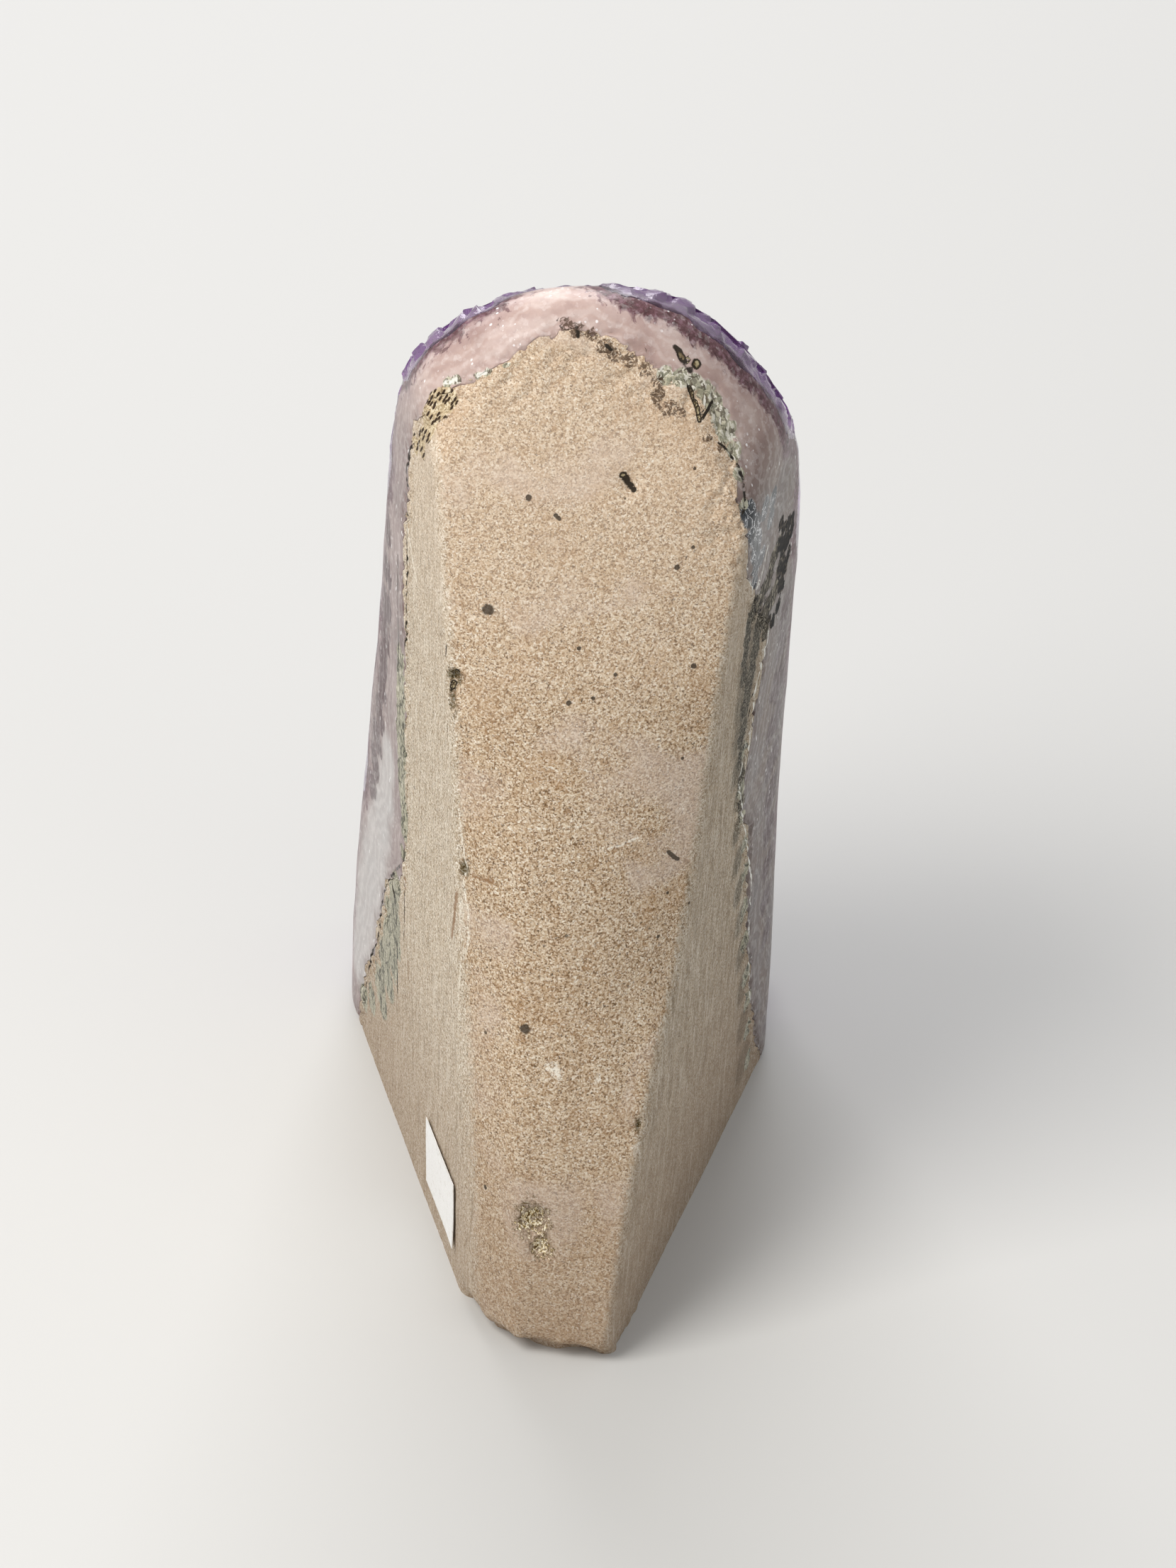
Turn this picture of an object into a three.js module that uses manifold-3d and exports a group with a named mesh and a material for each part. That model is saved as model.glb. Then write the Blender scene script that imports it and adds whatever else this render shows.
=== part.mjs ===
// Amethyst cluster: a cut-base geode specimen that stands on a sawn foot. Millimetres, +Z up.
// The crystals face -Y and the ground basalt back faces +Y, so +X is on the left as seen from the back.
// The sizes below count from a point on the foot, and the finished cluster is centred over the origin.
// Three layers grew on each other: basalt, a polished agate band, and a druse of amethyst points.
import * as THREE from "three";
import { mergeVertices } from "three/addons/utils/BufferGeometryUtils.js";
import Module from "manifold-3d";

const wasm = await Module();
wasm.setup();

// ---- Driving dimensions ----
const HEIGHT = 168.5;
const LAYER_GAP = 0.3;
const REACH = 260;
const SURFACE_STEP = 7;
const SURFACE_SOFTNESS = 20;

// The outline of the specimen, as [x, z] knots from the foot at -x over the dome to the foot at +x. It runs
// on below the foot, where the base cut trims it.
const OUTLINE = [
  [-34.3, -12],
  [-34.7, 26],
  [-34.5, 60],
  [-35.7, 100],
  [-36.1, 124],
  [-34.2, 139.5],
  [-28.4, 152.0],
  [-22.0, 160.4],
  [-15.9, 165.6],
  [-8.6, 168.2],
  [0.4, HEIGHT],
  [9.4, 167.0],
  [19.4, 161.0],
  [26.6, 151.5],
  [29.6, 136],
  [31.4, 98],
  [33.6, 62],
  [35.6, 34],
  [36.4, 12],
  [36.0, -12],
];
const OUTLINE_STEPS = 56;

// How the blank draws in from that outline at each depth from its crest: it rounds over at the top, gently
// towards the crystals and shortly towards the back. Its sides stay full, because the saw cuts trim them.
const BLANK_LEVELS = [
  { depth: -36, side: 7.5, top: 29.0 },
  { depth: -18, side: 3.2, top: 18.0 },
  { depth: -7, side: 1.1, top: 11.0 },
  { depth: 0, side: 0.2, top: 6.0 },
  { depth: 4, side: 0.0, top: 2.6 },
  { depth: 8, side: 0.0, top: 0.3 },
  { depth: 12, side: 0.0, top: 0.8 },
  { depth: 16, side: 0.4, top: 4.2 },
  { depth: 21, side: 1.4, top: 11.0 },
  { depth: 30, side: 2.5, top: 20.0 },
  { depth: 110, side: 8.0, top: 75.0 },
];
const SHOULDER = 60;

// The crest, where the polished rim is widest, leans back as it rises: its y at a point of the front view.
const CREST = { leftFoot: -41.0, leftLean: 0.2, rightFoot: -28.8, rightLean: 0.118 };
const HALF_WIDTH = 34.3;

// The two upright saw cuts at the sides: a point on each cut and its outward normal.
const LEFT_CUT = { point: [34.3, -32.0, 0], normal: [0.9666, 0.2567, 0] };
const RIGHT_CUT = { point: [-34.3, -29.4, 0], normal: [-0.9576, 0.2883, -0.048] };

// The ground back: its y along the middle, and how far it falls away towards its left and right ridges.
const BACK_MIDDLE_X = 3.3;
const BACK_SPAN_LEFT = 12;
const BACK_SPAN_RIGHT = 16;
const BACK_PROFILE = [
  { z: -12, middle: 56.6, fallLeft: 13.5, fallRight: -3.0 },
  { z: 10, middle: 54.6, fallLeft: 13.5, fallRight: -2.0 },
  { z: 28, middle: 51.8, fallLeft: 12.0, fallRight: 0.5 },
  { z: 46, middle: 47.8, fallLeft: 9.5, fallRight: 3.0 },
  { z: 62, middle: 43.9, fallLeft: 7.5, fallRight: 5.5 },
  { z: 84, middle: 38.2, fallLeft: 4.8, fallRight: 4.0 },
  { z: 112, middle: 29.6, fallLeft: 2.2, fallRight: 1.8 },
  { z: 140, middle: 18.8, fallLeft: 0.8, fallRight: 0.6 },
  { z: 158, middle: 10.6, fallLeft: 0.8, fallRight: 0.6 },
  { z: 180, middle: -0.5, fallLeft: 0.8, fallRight: 0.6 },
];

// Points [x, y, z] on the contact of basalt and agate, around the rim where it comes to the surface.
const AGATE_CONTACT = [
  [34.3, -33, 0],
  [34, -31, 9],
  [31.6, -21.7, 23],
  [30, -16, 40],
  [27, -4.5, 53],
  [26, -0.8, 59],
  [26.5, -2.7, 86],
  [27, -4.6, 115],
  [26.3, -2, 136],
  [24.2, 6, 149],
  [19, 8.5, 155],
  [11.7, 9.7, 159],
  [5.9, 7.8, 163.4],
  [1.2, 4.9, 166.7],
  [-5, 7.3, 164.2],
  [-12.1, 9.7, 158.6],
  [-18.3, 8.2, 157.6],
  [-23.8, 9.7, 148.8],
  [-26.2, 17, 137],
  [-26.6, 17, 125.7],
  [-28.5, 9, 117],
  [-31, -1, 105],
  [-29.2, 2.4, 90],
  [-27.5, 6, 78],
  [-29.4, -3, 59],
  [-29.6, -6.5, 42],
  [-30.5, -12.2, 26],
  [-31.6, -18, 13],
  [-32.9, -25, 1],
];

// Points [x, y, z] on the contact of agate and amethyst, likewise.
const CRYSTAL_CONTACT = [
  [35, -44, 0],
  [35, -38, 30],
  [33, -28.5, 60],
  [31, -21, 100],
  [29, -13.2, 136],
  [23, 0.2, 156],
  [13, 1, 164.5],
  [4, -7, 166],
  [-8.8, 2, 167.7],
  [-19.8, 2, 161.8],
  [-27, 1.4, 153.4],
  [-32.6, -0.7, 143.5],
  [-35, -12, 128],
  [-35, -17.2, 95],
  [-35, -21.5, 60],
  [-35, -33, 20],
  [-35, -36, 0],
  [0, -36, 30],
  [0, -28, 80],
  [0, -18, 130],
];
const DRUSE_BED = 8;

// The points of the druse: how far apart they grow, how wide, how far their shoulders stand clear of the bed
// (some are below it), how deep their roots are sunk and how far they lean at random.
const CRYSTALS = { seed: 16, spacing: 12, radius: [7.4, 9.8], rise: [-2.0, 2.5], sunk: 5, tilt: 0.34 };
const CRYSTAL_JITTER = 0.25;
const TIP_STEEPNESS = 1.1;
const TIP_WANDER = 0.15;
const ROOT_FLARE = 1.03;

// The points fan out from the middle of the druse: their lean per millimetre across and up from there.
const FAN = { middleZ: 70, across: 0.008, up: 0.004 };

// Shallow pits [x, y, z, half width, half height] where gas bubbles open on the ground back.
const PITS = [
  [4.0, 52.1, 25.0, 2.9, 3.6],
  [2.6, 52.8, 20.4, 1.6, 2.2],
  [-8.2, 16.9, 143.4, 1.7, 2.0],
  [18.2, 26.2, 110.8, 1.1, 3.4],
  [-12.3, 46.7, 41.2, 0.8, 1.8],
];
const PIT_DEPTH = 1.3;

// Flakes [x, y, z, turn] broken from the lower back edge, and the half lengths of one flake.
const FLAKES = [
  [14.5, 45.5, 0, 0.3],
  [9.5, 52.5, -0.2, 1.6],
  [3.5, 56.0, 0, 0.9],
  [-2.5, 57.0, -0.3, 2.2],
  [-8.5, 58.5, -1.2, 0.5],
];
const FLAKE_SIZE = [5.2, 6.5, 3.6];

const STICKER = { width: 19.05, height: 12.7, thickness: 0.12, bottom: 5.8, alongCut: 59.8, tilt: 0.035 };

// ---- Small helpers ----

// A repeatable random number generator that returns numbers from 0 to 1.
function makeRandom(seed) {
  let state = seed;
  return () => {
    state = (Math.imul(state, 1664525) + 1013904223) >>> 0;
    return state / 4294967296;
  };
}

// The value of a profile's field at a height, in straight runs from knot to knot.
function alongProfile(profile, field, z) {
  const last = profile.length - 1;
  const above = profile.findIndex((knot) => knot.z >= z);
  if (above === 0) return profile[0][field];
  if (above < 0) return profile[last][field];
  const [a, b] = [profile[above - 1], profile[above]];
  return THREE.MathUtils.lerp(a[field], b[field], (z - a.z) / (b.z - a.z));
}

// A surface y(x, z) that passes through scattered points and blends between them by distance.
function surfaceThrough(points) {
  return (x, z) => {
    let total = 0;
    let sum = 0;
    for (const [px, py, pz] of points) {
      const weight = 1 / ((px - x) ** 2 + (pz - z) ** 2 + SURFACE_SOFTNESS) ** 2;
      total += weight;
      sum += weight * py;
    }
    return sum / total;
  };
}

// A closed three.js geometry as a solid for joins and cuts.
function solidOf(geometry) {
  const bare = geometry.clone();
  bare.deleteAttribute("normal");
  bare.deleteAttribute("uv");
  const merged = mergeVertices(bare, 1e-4);
  return new wasm.Manifold(
    new wasm.Mesh({
      numProp: 3,
      vertProperties: new Float32Array(merged.attributes.position.array),
      triVerts: new Uint32Array(merged.index.array),
    }),
  );
}

// A solid as a three.js geometry.
function geometryOf(solid) {
  const mesh = solid.getMesh();
  const geometry = new THREE.BufferGeometry();
  geometry.setAttribute("position", new THREE.BufferAttribute(mesh.vertProperties, 3));
  geometry.setIndex(new THREE.BufferAttribute(mesh.triVerts, 1));
  geometry.computeVertexNormals();
  return geometry;
}

function middleOf(points) {
  return points.reduce((sum, point) => sum.add(point), new THREE.Vector3()).divideScalar(points.length);
}

// A closed skin over rings of points, each ring with the same number of points, with a fan on either end
// that runs to a hub point.
function skinOver(rings, startHub = middleOf(rings[0]), endHub = middleOf(rings.at(-1))) {
  const count = rings[0].length;
  const points = rings.flat();
  const faces = [];
  for (let r = 0; r + 1 < rings.length; r++) {
    for (let i = 0; i < count; i++) {
      const a = r * count + i;
      const b = r * count + ((i + 1) % count);
      faces.push(a, b, b + count, a, b + count, a + count);
    }
  }
  const start = points.push(startHub) - 1;
  const end = points.push(endHub) - 1;
  const lastRing = (rings.length - 1) * count;
  for (let i = 0; i < count; i++) {
    const next = (i + 1) % count;
    faces.push(start, next, i, end, lastRing + i, lastRing + next);
  }
  const geometry = new THREE.BufferGeometry().setFromPoints(points);
  geometry.setIndex(faces);
  return geometry;
}

// Everything in front of a surface y(x, z), as a solid block with that surface as its back.
function blockInFrontOf(surface, step) {
  const [halfX, bottom, top] = [60, -20, 190];
  const columns = Math.ceil((2 * halfX) / step);
  const rows = Math.ceil((top - bottom) / step);
  const rings = [];
  for (const level of [0, 1]) {
    for (let c = 0; c <= columns; c++) {
      for (let r = 0; r <= rows; r++) {
        const x = halfX - (2 * halfX * c) / columns;
        const z = bottom + ((top - bottom) * r) / rows;
        rings.push(new THREE.Vector3(x, level ? surface(x, z) : -REACH, z));
      }
    }
  }
  const at = (level, c, r) => (level * (columns + 1) + c) * (rows + 1) + r;
  const faces = [];
  const quad = (a, b, c, d) => faces.push(a, b, c, a, c, d);
  for (let c = 0; c < columns; c++) {
    for (let r = 0; r < rows; r++) {
      quad(at(1, c, r), at(1, c + 1, r), at(1, c + 1, r + 1), at(1, c, r + 1));
      quad(at(0, c, r), at(0, c, r + 1), at(0, c + 1, r + 1), at(0, c + 1, r));
    }
    quad(at(0, c, 0), at(0, c + 1, 0), at(1, c + 1, 0), at(1, c, 0));
    quad(at(1, c, rows), at(1, c + 1, rows), at(0, c + 1, rows), at(0, c, rows));
  }
  for (let r = 0; r < rows; r++) {
    quad(at(0, 0, r), at(1, 0, r), at(1, 0, r + 1), at(0, 0, r + 1));
    quad(at(1, columns, r), at(0, columns, r), at(0, columns, r + 1), at(1, columns, r + 1));
  }
  const geometry = new THREE.BufferGeometry().setFromPoints(rings);
  geometry.setIndex(faces);
  return solidOf(geometry);
}

// What lies beyond a flat cut, as a big box with one face on the cut.
function beyondCut({ point, normal }) {
  const outward = new THREE.Vector3(...normal).normalize();
  const box = new THREE.BoxGeometry(2 * REACH, 2 * REACH, REACH).translate(0, 0, REACH / 2);
  box.applyQuaternion(new THREE.Quaternion().setFromUnitVectors(new THREE.Vector3(0, 0, 1), outward));
  return solidOf(box.translate(...point));
}

// ---- The blank: the specimen before its saw cuts ----

function crestY(x, z) {
  const across = THREE.MathUtils.clamp((HALF_WIDTH - x) / (2 * HALF_WIDTH), 0, 1);
  const left = CREST.leftFoot + CREST.leftLean * z;
  const right = CREST.rightFoot + CREST.rightLean * z;
  return THREE.MathUtils.lerp(left, right, across);
}

function makeBlank() {
  const knots = OUTLINE.map(([x, z]) => new THREE.Vector3(x, 0, z));
  const curve = new THREE.CatmullRomCurve3(knots, false, "centripetal");
  const rings = BLANK_LEVELS.map(({ depth, side, top }) => {
    const ring = [];
    for (let i = 0; i <= OUTLINE_STEPS; i++) {
      const point = curve.getPointAt(i / OUTLINE_STEPS);
      const rise = Math.max(point.z - SHOULDER, 0);
      const x = point.x * (1 - side / HALF_WIDTH);
      const z = point.z - (rise * top) / (HEIGHT - SHOULDER);
      ring.push(new THREE.Vector3(x, crestY(point.x, point.z) + depth, z));
    }
    return ring;
  });
  return solidOf(skinOver(rings));
}

// ---- The layers ----

function backY(x, z) {
  const middle = alongProfile(BACK_PROFILE, "middle", z);
  const left = x > BACK_MIDDLE_X;
  const fall = alongProfile(BACK_PROFILE, left ? "fallLeft" : "fallRight", z);
  const reach = Math.abs(x - BACK_MIDDLE_X) / (left ? BACK_SPAN_LEFT : BACK_SPAN_RIGHT);
  return middle - fall * Math.min(reach, 2) ** 2;
}

const blank = makeBlank()
  .subtract(beyondCut(LEFT_CUT))
  .subtract(beyondCut(RIGHT_CUT))
  .subtract(beyondCut({ point: [0, 0, 0], normal: [0, 0, -1] }));
const specimen = blank.intersect(blockInFrontOf(backY, SURFACE_STEP));

const agateContact = surfaceThrough(AGATE_CONTACT);
const crystalContact = surfaceThrough(CRYSTAL_CONTACT);
const before = (surface, offset) => blockInFrontOf((x, z) => surface(x, z) + offset, SURFACE_STEP);

function makeBasalt() {
  const pits = PITS.map(([x, y, z, halfWidth, halfHeight]) =>
    solidOf(new THREE.IcosahedronGeometry(1, 1).scale(halfWidth, PIT_DEPTH, halfHeight).translate(x, y, z)),
  );
  const flakes = FLAKES.map(([x, y, z, turn]) =>
    solidOf(new THREE.IcosahedronGeometry(1, 1).scale(...FLAKE_SIZE).rotateZ(turn).translate(x, y, z)),
  );
  return specimen
    .subtract(before(agateContact, LAYER_GAP / 2))
    .subtract(wasm.Manifold.union([...pits, ...flakes]));
}

function makeAgate() {
  return specimen
    .intersect(before(agateContact, -LAYER_GAP / 2))
    .subtract(before(crystalContact, LAYER_GAP / 2));
}

// One six-sided amethyst point along +Z, its tip a little off its axis.
function crystalGeometry(radius, length, tipShift) {
  const ring = (r, z) =>
    Array.from({ length: 6 }, (_, i) => {
      const angle = (i * Math.PI) / 3;
      return new THREE.Vector3(r * Math.cos(angle), r * Math.sin(angle), z);
    });
  const tip = new THREE.Vector3(tipShift.x, tipShift.y, length + radius * TIP_STEEPNESS);
  return skinOver([ring(radius * ROOT_FLARE, 0), ring(radius, length)], undefined, tip);
}

// The druse: a bed of quartz in front of the agate, and the points that grow from it, packed side by side.
function makeDruse() {
  const random = makeRandom(CRYSTALS.seed);
  const within = ([low, high]) => low + (high - low) * random();
  const growth = new THREE.Vector3(0, 0, 1);
  const rowStep = CRYSTALS.spacing * Math.sin(Math.PI / 3);
  const halfColumns = Math.ceil(HALF_WIDTH / CRYSTALS.spacing) + 1;
  const points = [];
  for (let row = 0; row * rowStep < HEIGHT; row++) {
    for (let column = -halfColumns; column <= halfColumns; column++) {
      const x = (column + (row % 2) / 2 + within([-CRYSTAL_JITTER, CRYSTAL_JITTER])) * CRYSTALS.spacing;
      const z = (row + within([-CRYSTAL_JITTER, CRYSTAL_JITTER])) * rowStep;
      const outward = new THREE.Vector3(x * FAN.across, -1, (z - FAN.middleZ) * FAN.up);
      outward.x += within([-CRYSTALS.tilt, CRYSTALS.tilt]) / 2;
      outward.z += within([-CRYSTALS.tilt, CRYSTALS.tilt]) / 2;
      outward.normalize();
      const radius = within(CRYSTALS.radius);
      const wander = radius * TIP_WANDER;
      const tipShift = new THREE.Vector2(within([-wander, wander]), within([-wander, wander]));
      const point = crystalGeometry(radius, CRYSTALS.sunk + within(CRYSTALS.rise), tipShift);
      point.rotateZ(random() * Math.PI);
      point.applyQuaternion(new THREE.Quaternion().setFromUnitVectors(growth, outward));
      const seat = new THREE.Vector3(x, crystalContact(x, z) - DRUSE_BED, z);
      seat.addScaledVector(outward, -CRYSTALS.sunk);
      points.push(solidOf(point.translate(seat.x, seat.y, seat.z)));
    }
  }
  const room = blank.intersect(before(crystalContact, -LAYER_GAP / 2));
  const bed = room.subtract(before(crystalContact, -DRUSE_BED));
  return wasm.Manifold.union([bed, ...points]).intersect(room);
}

// The paper sticker, laid on the left saw cut.
function stickerGeometry() {
  const { width, height, thickness, bottom, alongCut, tilt } = STICKER;
  const outward = new THREE.Vector3(...LEFT_CUT.normal).normalize();
  const along = new THREE.Vector3(-outward.y, outward.x, 0);
  const place = new THREE.Vector3(...LEFT_CUT.point)
    .addScaledVector(along, alongCut)
    .addScaledVector(outward, LAYER_GAP + thickness / 2);
  return new THREE.BoxGeometry(thickness, width, height)
    .rotateX(tilt)
    .rotateZ(Math.atan2(outward.y, outward.x))
    .translate(place.x, place.y, bottom + height / 2);
}

// ---- The cluster ----

const materials = {
  basalt: new THREE.MeshStandardMaterial({ color: 0xa68a6a, roughness: 0.9, metalness: 0 }),
  agate: new THREE.MeshStandardMaterial({ color: 0xb9a3a8, roughness: 0.25, metalness: 0 }),
  amethyst: new THREE.MeshStandardMaterial({ color: 0x6c4a86, roughness: 0.1, metalness: 0 }),
  paper: new THREE.MeshStandardMaterial({ color: 0xf1f0ee, roughness: 0.7, metalness: 0 }),
};

const cluster = new THREE.Group();
for (const [name, geometry, material] of [
  ["basalt_matrix", geometryOf(makeBasalt()), materials.basalt],
  ["agate_band", geometryOf(makeAgate()), materials.agate],
  ["amethyst_crystals", geometryOf(makeDruse()), materials.amethyst],
  ["paper_sticker", stickerGeometry(), materials.paper],
]) {
  const mesh = new THREE.Mesh(geometry, material);
  mesh.name = name;
  cluster.add(mesh);
}

// The origin is at the middle of the foot of the bounding box.
const box = new THREE.Box3().setFromObject(cluster, true);
cluster.position.set(-(box.min.x + box.max.x) / 2, -(box.min.y + box.max.y) / 2, -box.min.z);

export default cluster;
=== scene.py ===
"""Looks of a cut-base amethyst cluster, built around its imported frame.

The specimen is one lump in three layers that grew on each other: a ground basalt back, a band of
polished agate round the rim and a druse of amethyst points in front. The lump is rebuilt as one fine
skin and is then parted along the ragged contacts of its layers, so that the worked surface runs on from
layer to layer. The points stay as sharp as the frame has them, with smaller ones grown in between.

Meshes are in metres with +Z up. The basalt back faces +Y, the points face -Y, and +X is on the left as
seen from the back. Names that end in _mm are in millimetres, and so are all places in the tables.
"""

from __future__ import annotations

import logging
import math
from dataclasses import dataclass, field
from typing import Iterable, Sequence

import bpy
import bmesh
import numpy as np
from mathutils import Matrix, Vector, noise
from mathutils.bvhtree import BVHTree
from mathutils.kdtree import KDTree

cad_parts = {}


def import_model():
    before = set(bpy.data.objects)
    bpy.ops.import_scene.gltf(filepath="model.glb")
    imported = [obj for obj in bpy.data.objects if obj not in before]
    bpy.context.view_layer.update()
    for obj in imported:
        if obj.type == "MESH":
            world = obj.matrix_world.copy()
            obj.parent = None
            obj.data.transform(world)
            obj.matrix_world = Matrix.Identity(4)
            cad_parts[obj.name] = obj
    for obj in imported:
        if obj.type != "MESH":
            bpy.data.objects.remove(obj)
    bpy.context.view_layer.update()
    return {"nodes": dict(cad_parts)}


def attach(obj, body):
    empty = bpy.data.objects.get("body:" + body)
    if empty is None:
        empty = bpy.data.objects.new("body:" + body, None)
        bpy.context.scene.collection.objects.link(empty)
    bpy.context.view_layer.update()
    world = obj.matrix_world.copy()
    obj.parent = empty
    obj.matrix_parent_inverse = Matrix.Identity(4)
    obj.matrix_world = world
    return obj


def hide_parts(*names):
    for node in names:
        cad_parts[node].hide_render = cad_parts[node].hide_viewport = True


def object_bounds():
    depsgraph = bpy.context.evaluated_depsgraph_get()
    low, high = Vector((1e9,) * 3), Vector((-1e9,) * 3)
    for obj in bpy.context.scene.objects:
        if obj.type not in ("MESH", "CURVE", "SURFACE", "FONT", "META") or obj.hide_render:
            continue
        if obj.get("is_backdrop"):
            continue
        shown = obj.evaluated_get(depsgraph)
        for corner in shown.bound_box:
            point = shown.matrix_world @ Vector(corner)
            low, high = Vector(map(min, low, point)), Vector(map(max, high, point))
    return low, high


LOG = logging.getLogger("amethyst_cluster")
MM = 0.001
BODY = "root"
FRONT_Y = -0.2  # a plane in front of the whole specimen, in metres
SAW_SIZE = 0.3  # the edge of the block that cuts the foot, in metres
LAYER_GAP_MM = 0.4  # vertices nearer than this face the gap to the next layer
LAYER_OVERLAP_MM = 0.6  # how far such vertices are pushed to close it
CRYSTAL_CORNERS = 13  # the corners of one small point
STONE_CREASE = 50  # degrees, as are the next two
CRYSTAL_CREASE = 22
LABEL_CREASE = 40
NOISE_DEFAULTS = (5.0, 2.0, 0.5, 0.0)  # scale, detail, roughness and distortion

Point = tuple[float, float, float]
Colour = tuple[float, float, float, float]


# ---------------------------------------------------------------- mesh helpers


def vectors_of(elements: bpy.types.bpy_prop_collection, name: str) -> np.ndarray:
    """Reads one vector from each element of a mesh."""
    flat = np.empty(len(elements) * 3, np.float32)
    elements.foreach_get(name, flat)
    return flat.reshape(-1, 3).astype(float)


def coordinates(mesh: bpy.types.Mesh) -> np.ndarray:
    """A mesh's vertex positions, one row per vertex, in metres."""
    return vectors_of(mesh.vertices, "co")


def set_coordinates(mesh: bpy.types.Mesh, points: np.ndarray) -> None:
    """Writes a mesh's vertex positions, one row per vertex, in metres."""
    mesh.vertices.foreach_set("co", points.astype(np.float32).ravel())
    mesh.update()


def link_object(name: str, mesh: bpy.types.Mesh) -> bpy.types.Object:
    """Makes an object of a mesh at the origin and links it to the scene."""
    item = bpy.data.objects.new(name, mesh)
    bpy.context.scene.collection.objects.link(item)
    return item


def mesh_object(name: str, points: Iterable, faces: Iterable) -> bpy.types.Object:
    """Makes a linked object from plain lists of points and faces."""
    mesh = bpy.data.meshes.new(name)
    mesh.from_pydata([tuple(p) for p in points], [], [tuple(f) for f in faces])
    mesh.update()
    return link_object(name, mesh)


def drop(item: bpy.types.Object) -> None:
    """Removes a working object and its mesh."""
    mesh = item.data
    bpy.data.objects.remove(item)
    bpy.data.meshes.remove(mesh)


def merged_copy(node: bpy.types.Object, name: str) -> bpy.types.Object:
    """Copies a node's mesh and merges its loose triangles into one closed skin.

    Args:
        node: the node of the frame to copy.
        name: the name of the copy.

    Returns:
        The linked copy, with no materials.
    """
    mesh = node.data.copy()
    mesh.materials.clear()
    skin = bmesh.new()
    skin.from_mesh(mesh)
    bmesh.ops.remove_doubles(skin, verts=skin.verts, dist=1e-6)
    skin.to_mesh(mesh)
    skin.free()
    while mesh.uv_layers:
        mesh.uv_layers.remove(mesh.uv_layers[0])
    return link_object(name, mesh)


def bake_modifiers(item: bpy.types.Object) -> None:
    """Turns an object's modifiers into plain mesh and removes them."""
    graph = bpy.context.evaluated_depsgraph_get()
    mesh = bpy.data.meshes.new_from_object(item.evaluated_get(graph))
    item.modifiers.clear()
    old = item.data
    item.data = mesh
    bpy.data.meshes.remove(old)


def carve(item: bpy.types.Object, tool: bpy.types.Object, operation: str) -> None:
    """Joins, cuts or trims an object with another.

    Args:
        item: the object that changes.
        tool: the closed object it is joined to, cut by or trimmed to.
        operation: UNION, DIFFERENCE or INTERSECT.
    """
    modifier = item.modifiers.new("carve", "BOOLEAN")
    modifier.solver = "MANIFOLD"
    modifier.operation = operation
    modifier.object = tool
    bake_modifiers(item)


def face_outward(item: bpy.types.Object) -> None:
    """Turns all faces of a closed object outward."""
    skin = bmesh.new()
    skin.from_mesh(item.data)
    bmesh.ops.recalc_face_normals(skin, faces=skin.faces)
    skin.to_mesh(item.data)
    skin.free()


def saw_foot(item: bpy.types.Object) -> None:
    """Saws an object off flat at the foot."""
    skin = bmesh.new()
    bmesh.ops.create_cube(skin, size=SAW_SIZE, matrix=Matrix.Translation((0, 0, -SAW_SIZE / 2)))
    mesh = bpy.data.meshes.new("saw")
    skin.to_mesh(mesh)
    skin.free()
    saw = link_object("saw", mesh)
    carve(item, saw, "DIFFERENCE")
    drop(saw)


def cells_of(grid: np.ndarray) -> np.ndarray:
    """The values at the four corners of each cell of a grid, round the cell."""
    return np.stack([grid[:-1, :-1], grid[1:, :-1], grid[1:, 1:], grid[:-1, 1:]], -1)


def bvh_of(item: bpy.types.Object) -> BVHTree:
    """A search tree over an object's faces."""
    mesh = item.data
    corners = [v.co[:] for v in mesh.vertices]
    return BVHTree.FromPolygons(corners, [p.vertices[:] for p in mesh.polygons])


def distances_mm(points: np.ndarray, tree: BVHTree, reach_mm: float = 60.0) -> np.ndarray:
    """The distance of each point to a surface.

    Args:
        points: one row per point, in metres.
        tree: the surface's search tree.
        reach_mm: the distance that points further away are given.

    Returns:
        The distances in millimetres.
    """
    found = (tree.find_nearest(p, reach_mm * MM)[3] for p in points.tolist())
    return np.array([reach_mm if d is None else d / MM for d in found])


def noise_at(points: np.ndarray, size_mm: float, seed: float = 0.0, octaves: int = 1) -> np.ndarray:
    """Smooth noise from about -1 to 1 at each point.

    Args:
        points: one row per point, in metres.
        size_mm: the size of the coarsest lumps.
        seed: shifts the pattern.
        octaves: how many finer layers are added, each half as strong.

    Returns:
        One value per point.
    """
    total = np.zeros(len(points))
    shift = np.array([seed * 17.3, seed * 5.9, seed * 11.1])
    for octave in range(octaves):
        scaled = points / (size_mm * MM) * 2.0**octave + shift
        total += np.array([noise.noise(p) for p in scaled.tolist()]) * 0.5**octave
    return total


def facets_at(points: np.ndarray, size_mm: float, height_mm: float) -> np.ndarray:
    """The height of small flat facets that lean all ways, as of broken crystals.

    Args:
        points: one row per point, in metres.
        size_mm: the facets' size.
        height_mm: how far they stand out.

    Returns:
        One height in millimetres per point.
    """
    heights = []
    for place in (points / (size_mm * MM)).tolist():
        middle = noise.voronoi(place)[1][0]
        lean = noise.cell_vector(middle * 7.3)
        level = noise.cell(middle * 3.1)
        heights.append((Vector(place) - middle).dot(lean - Vector((0.5, 0.5, 0.5))) * 1.6 + level * 0.6)
    return np.array(heights) * height_mm


def smooth_step(low: float, high: float, value: np.ndarray) -> np.ndarray:
    """Eases from 0 at low to 1 at high."""
    t = np.clip((value - low) / (high - low), 0, 1)
    return t * t * (3 - 2 * t)


def vertex_normals(mesh: bpy.types.Mesh) -> np.ndarray:
    """One unit normal per vertex."""
    return vectors_of(mesh.vertex_normals, "vector")


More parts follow.
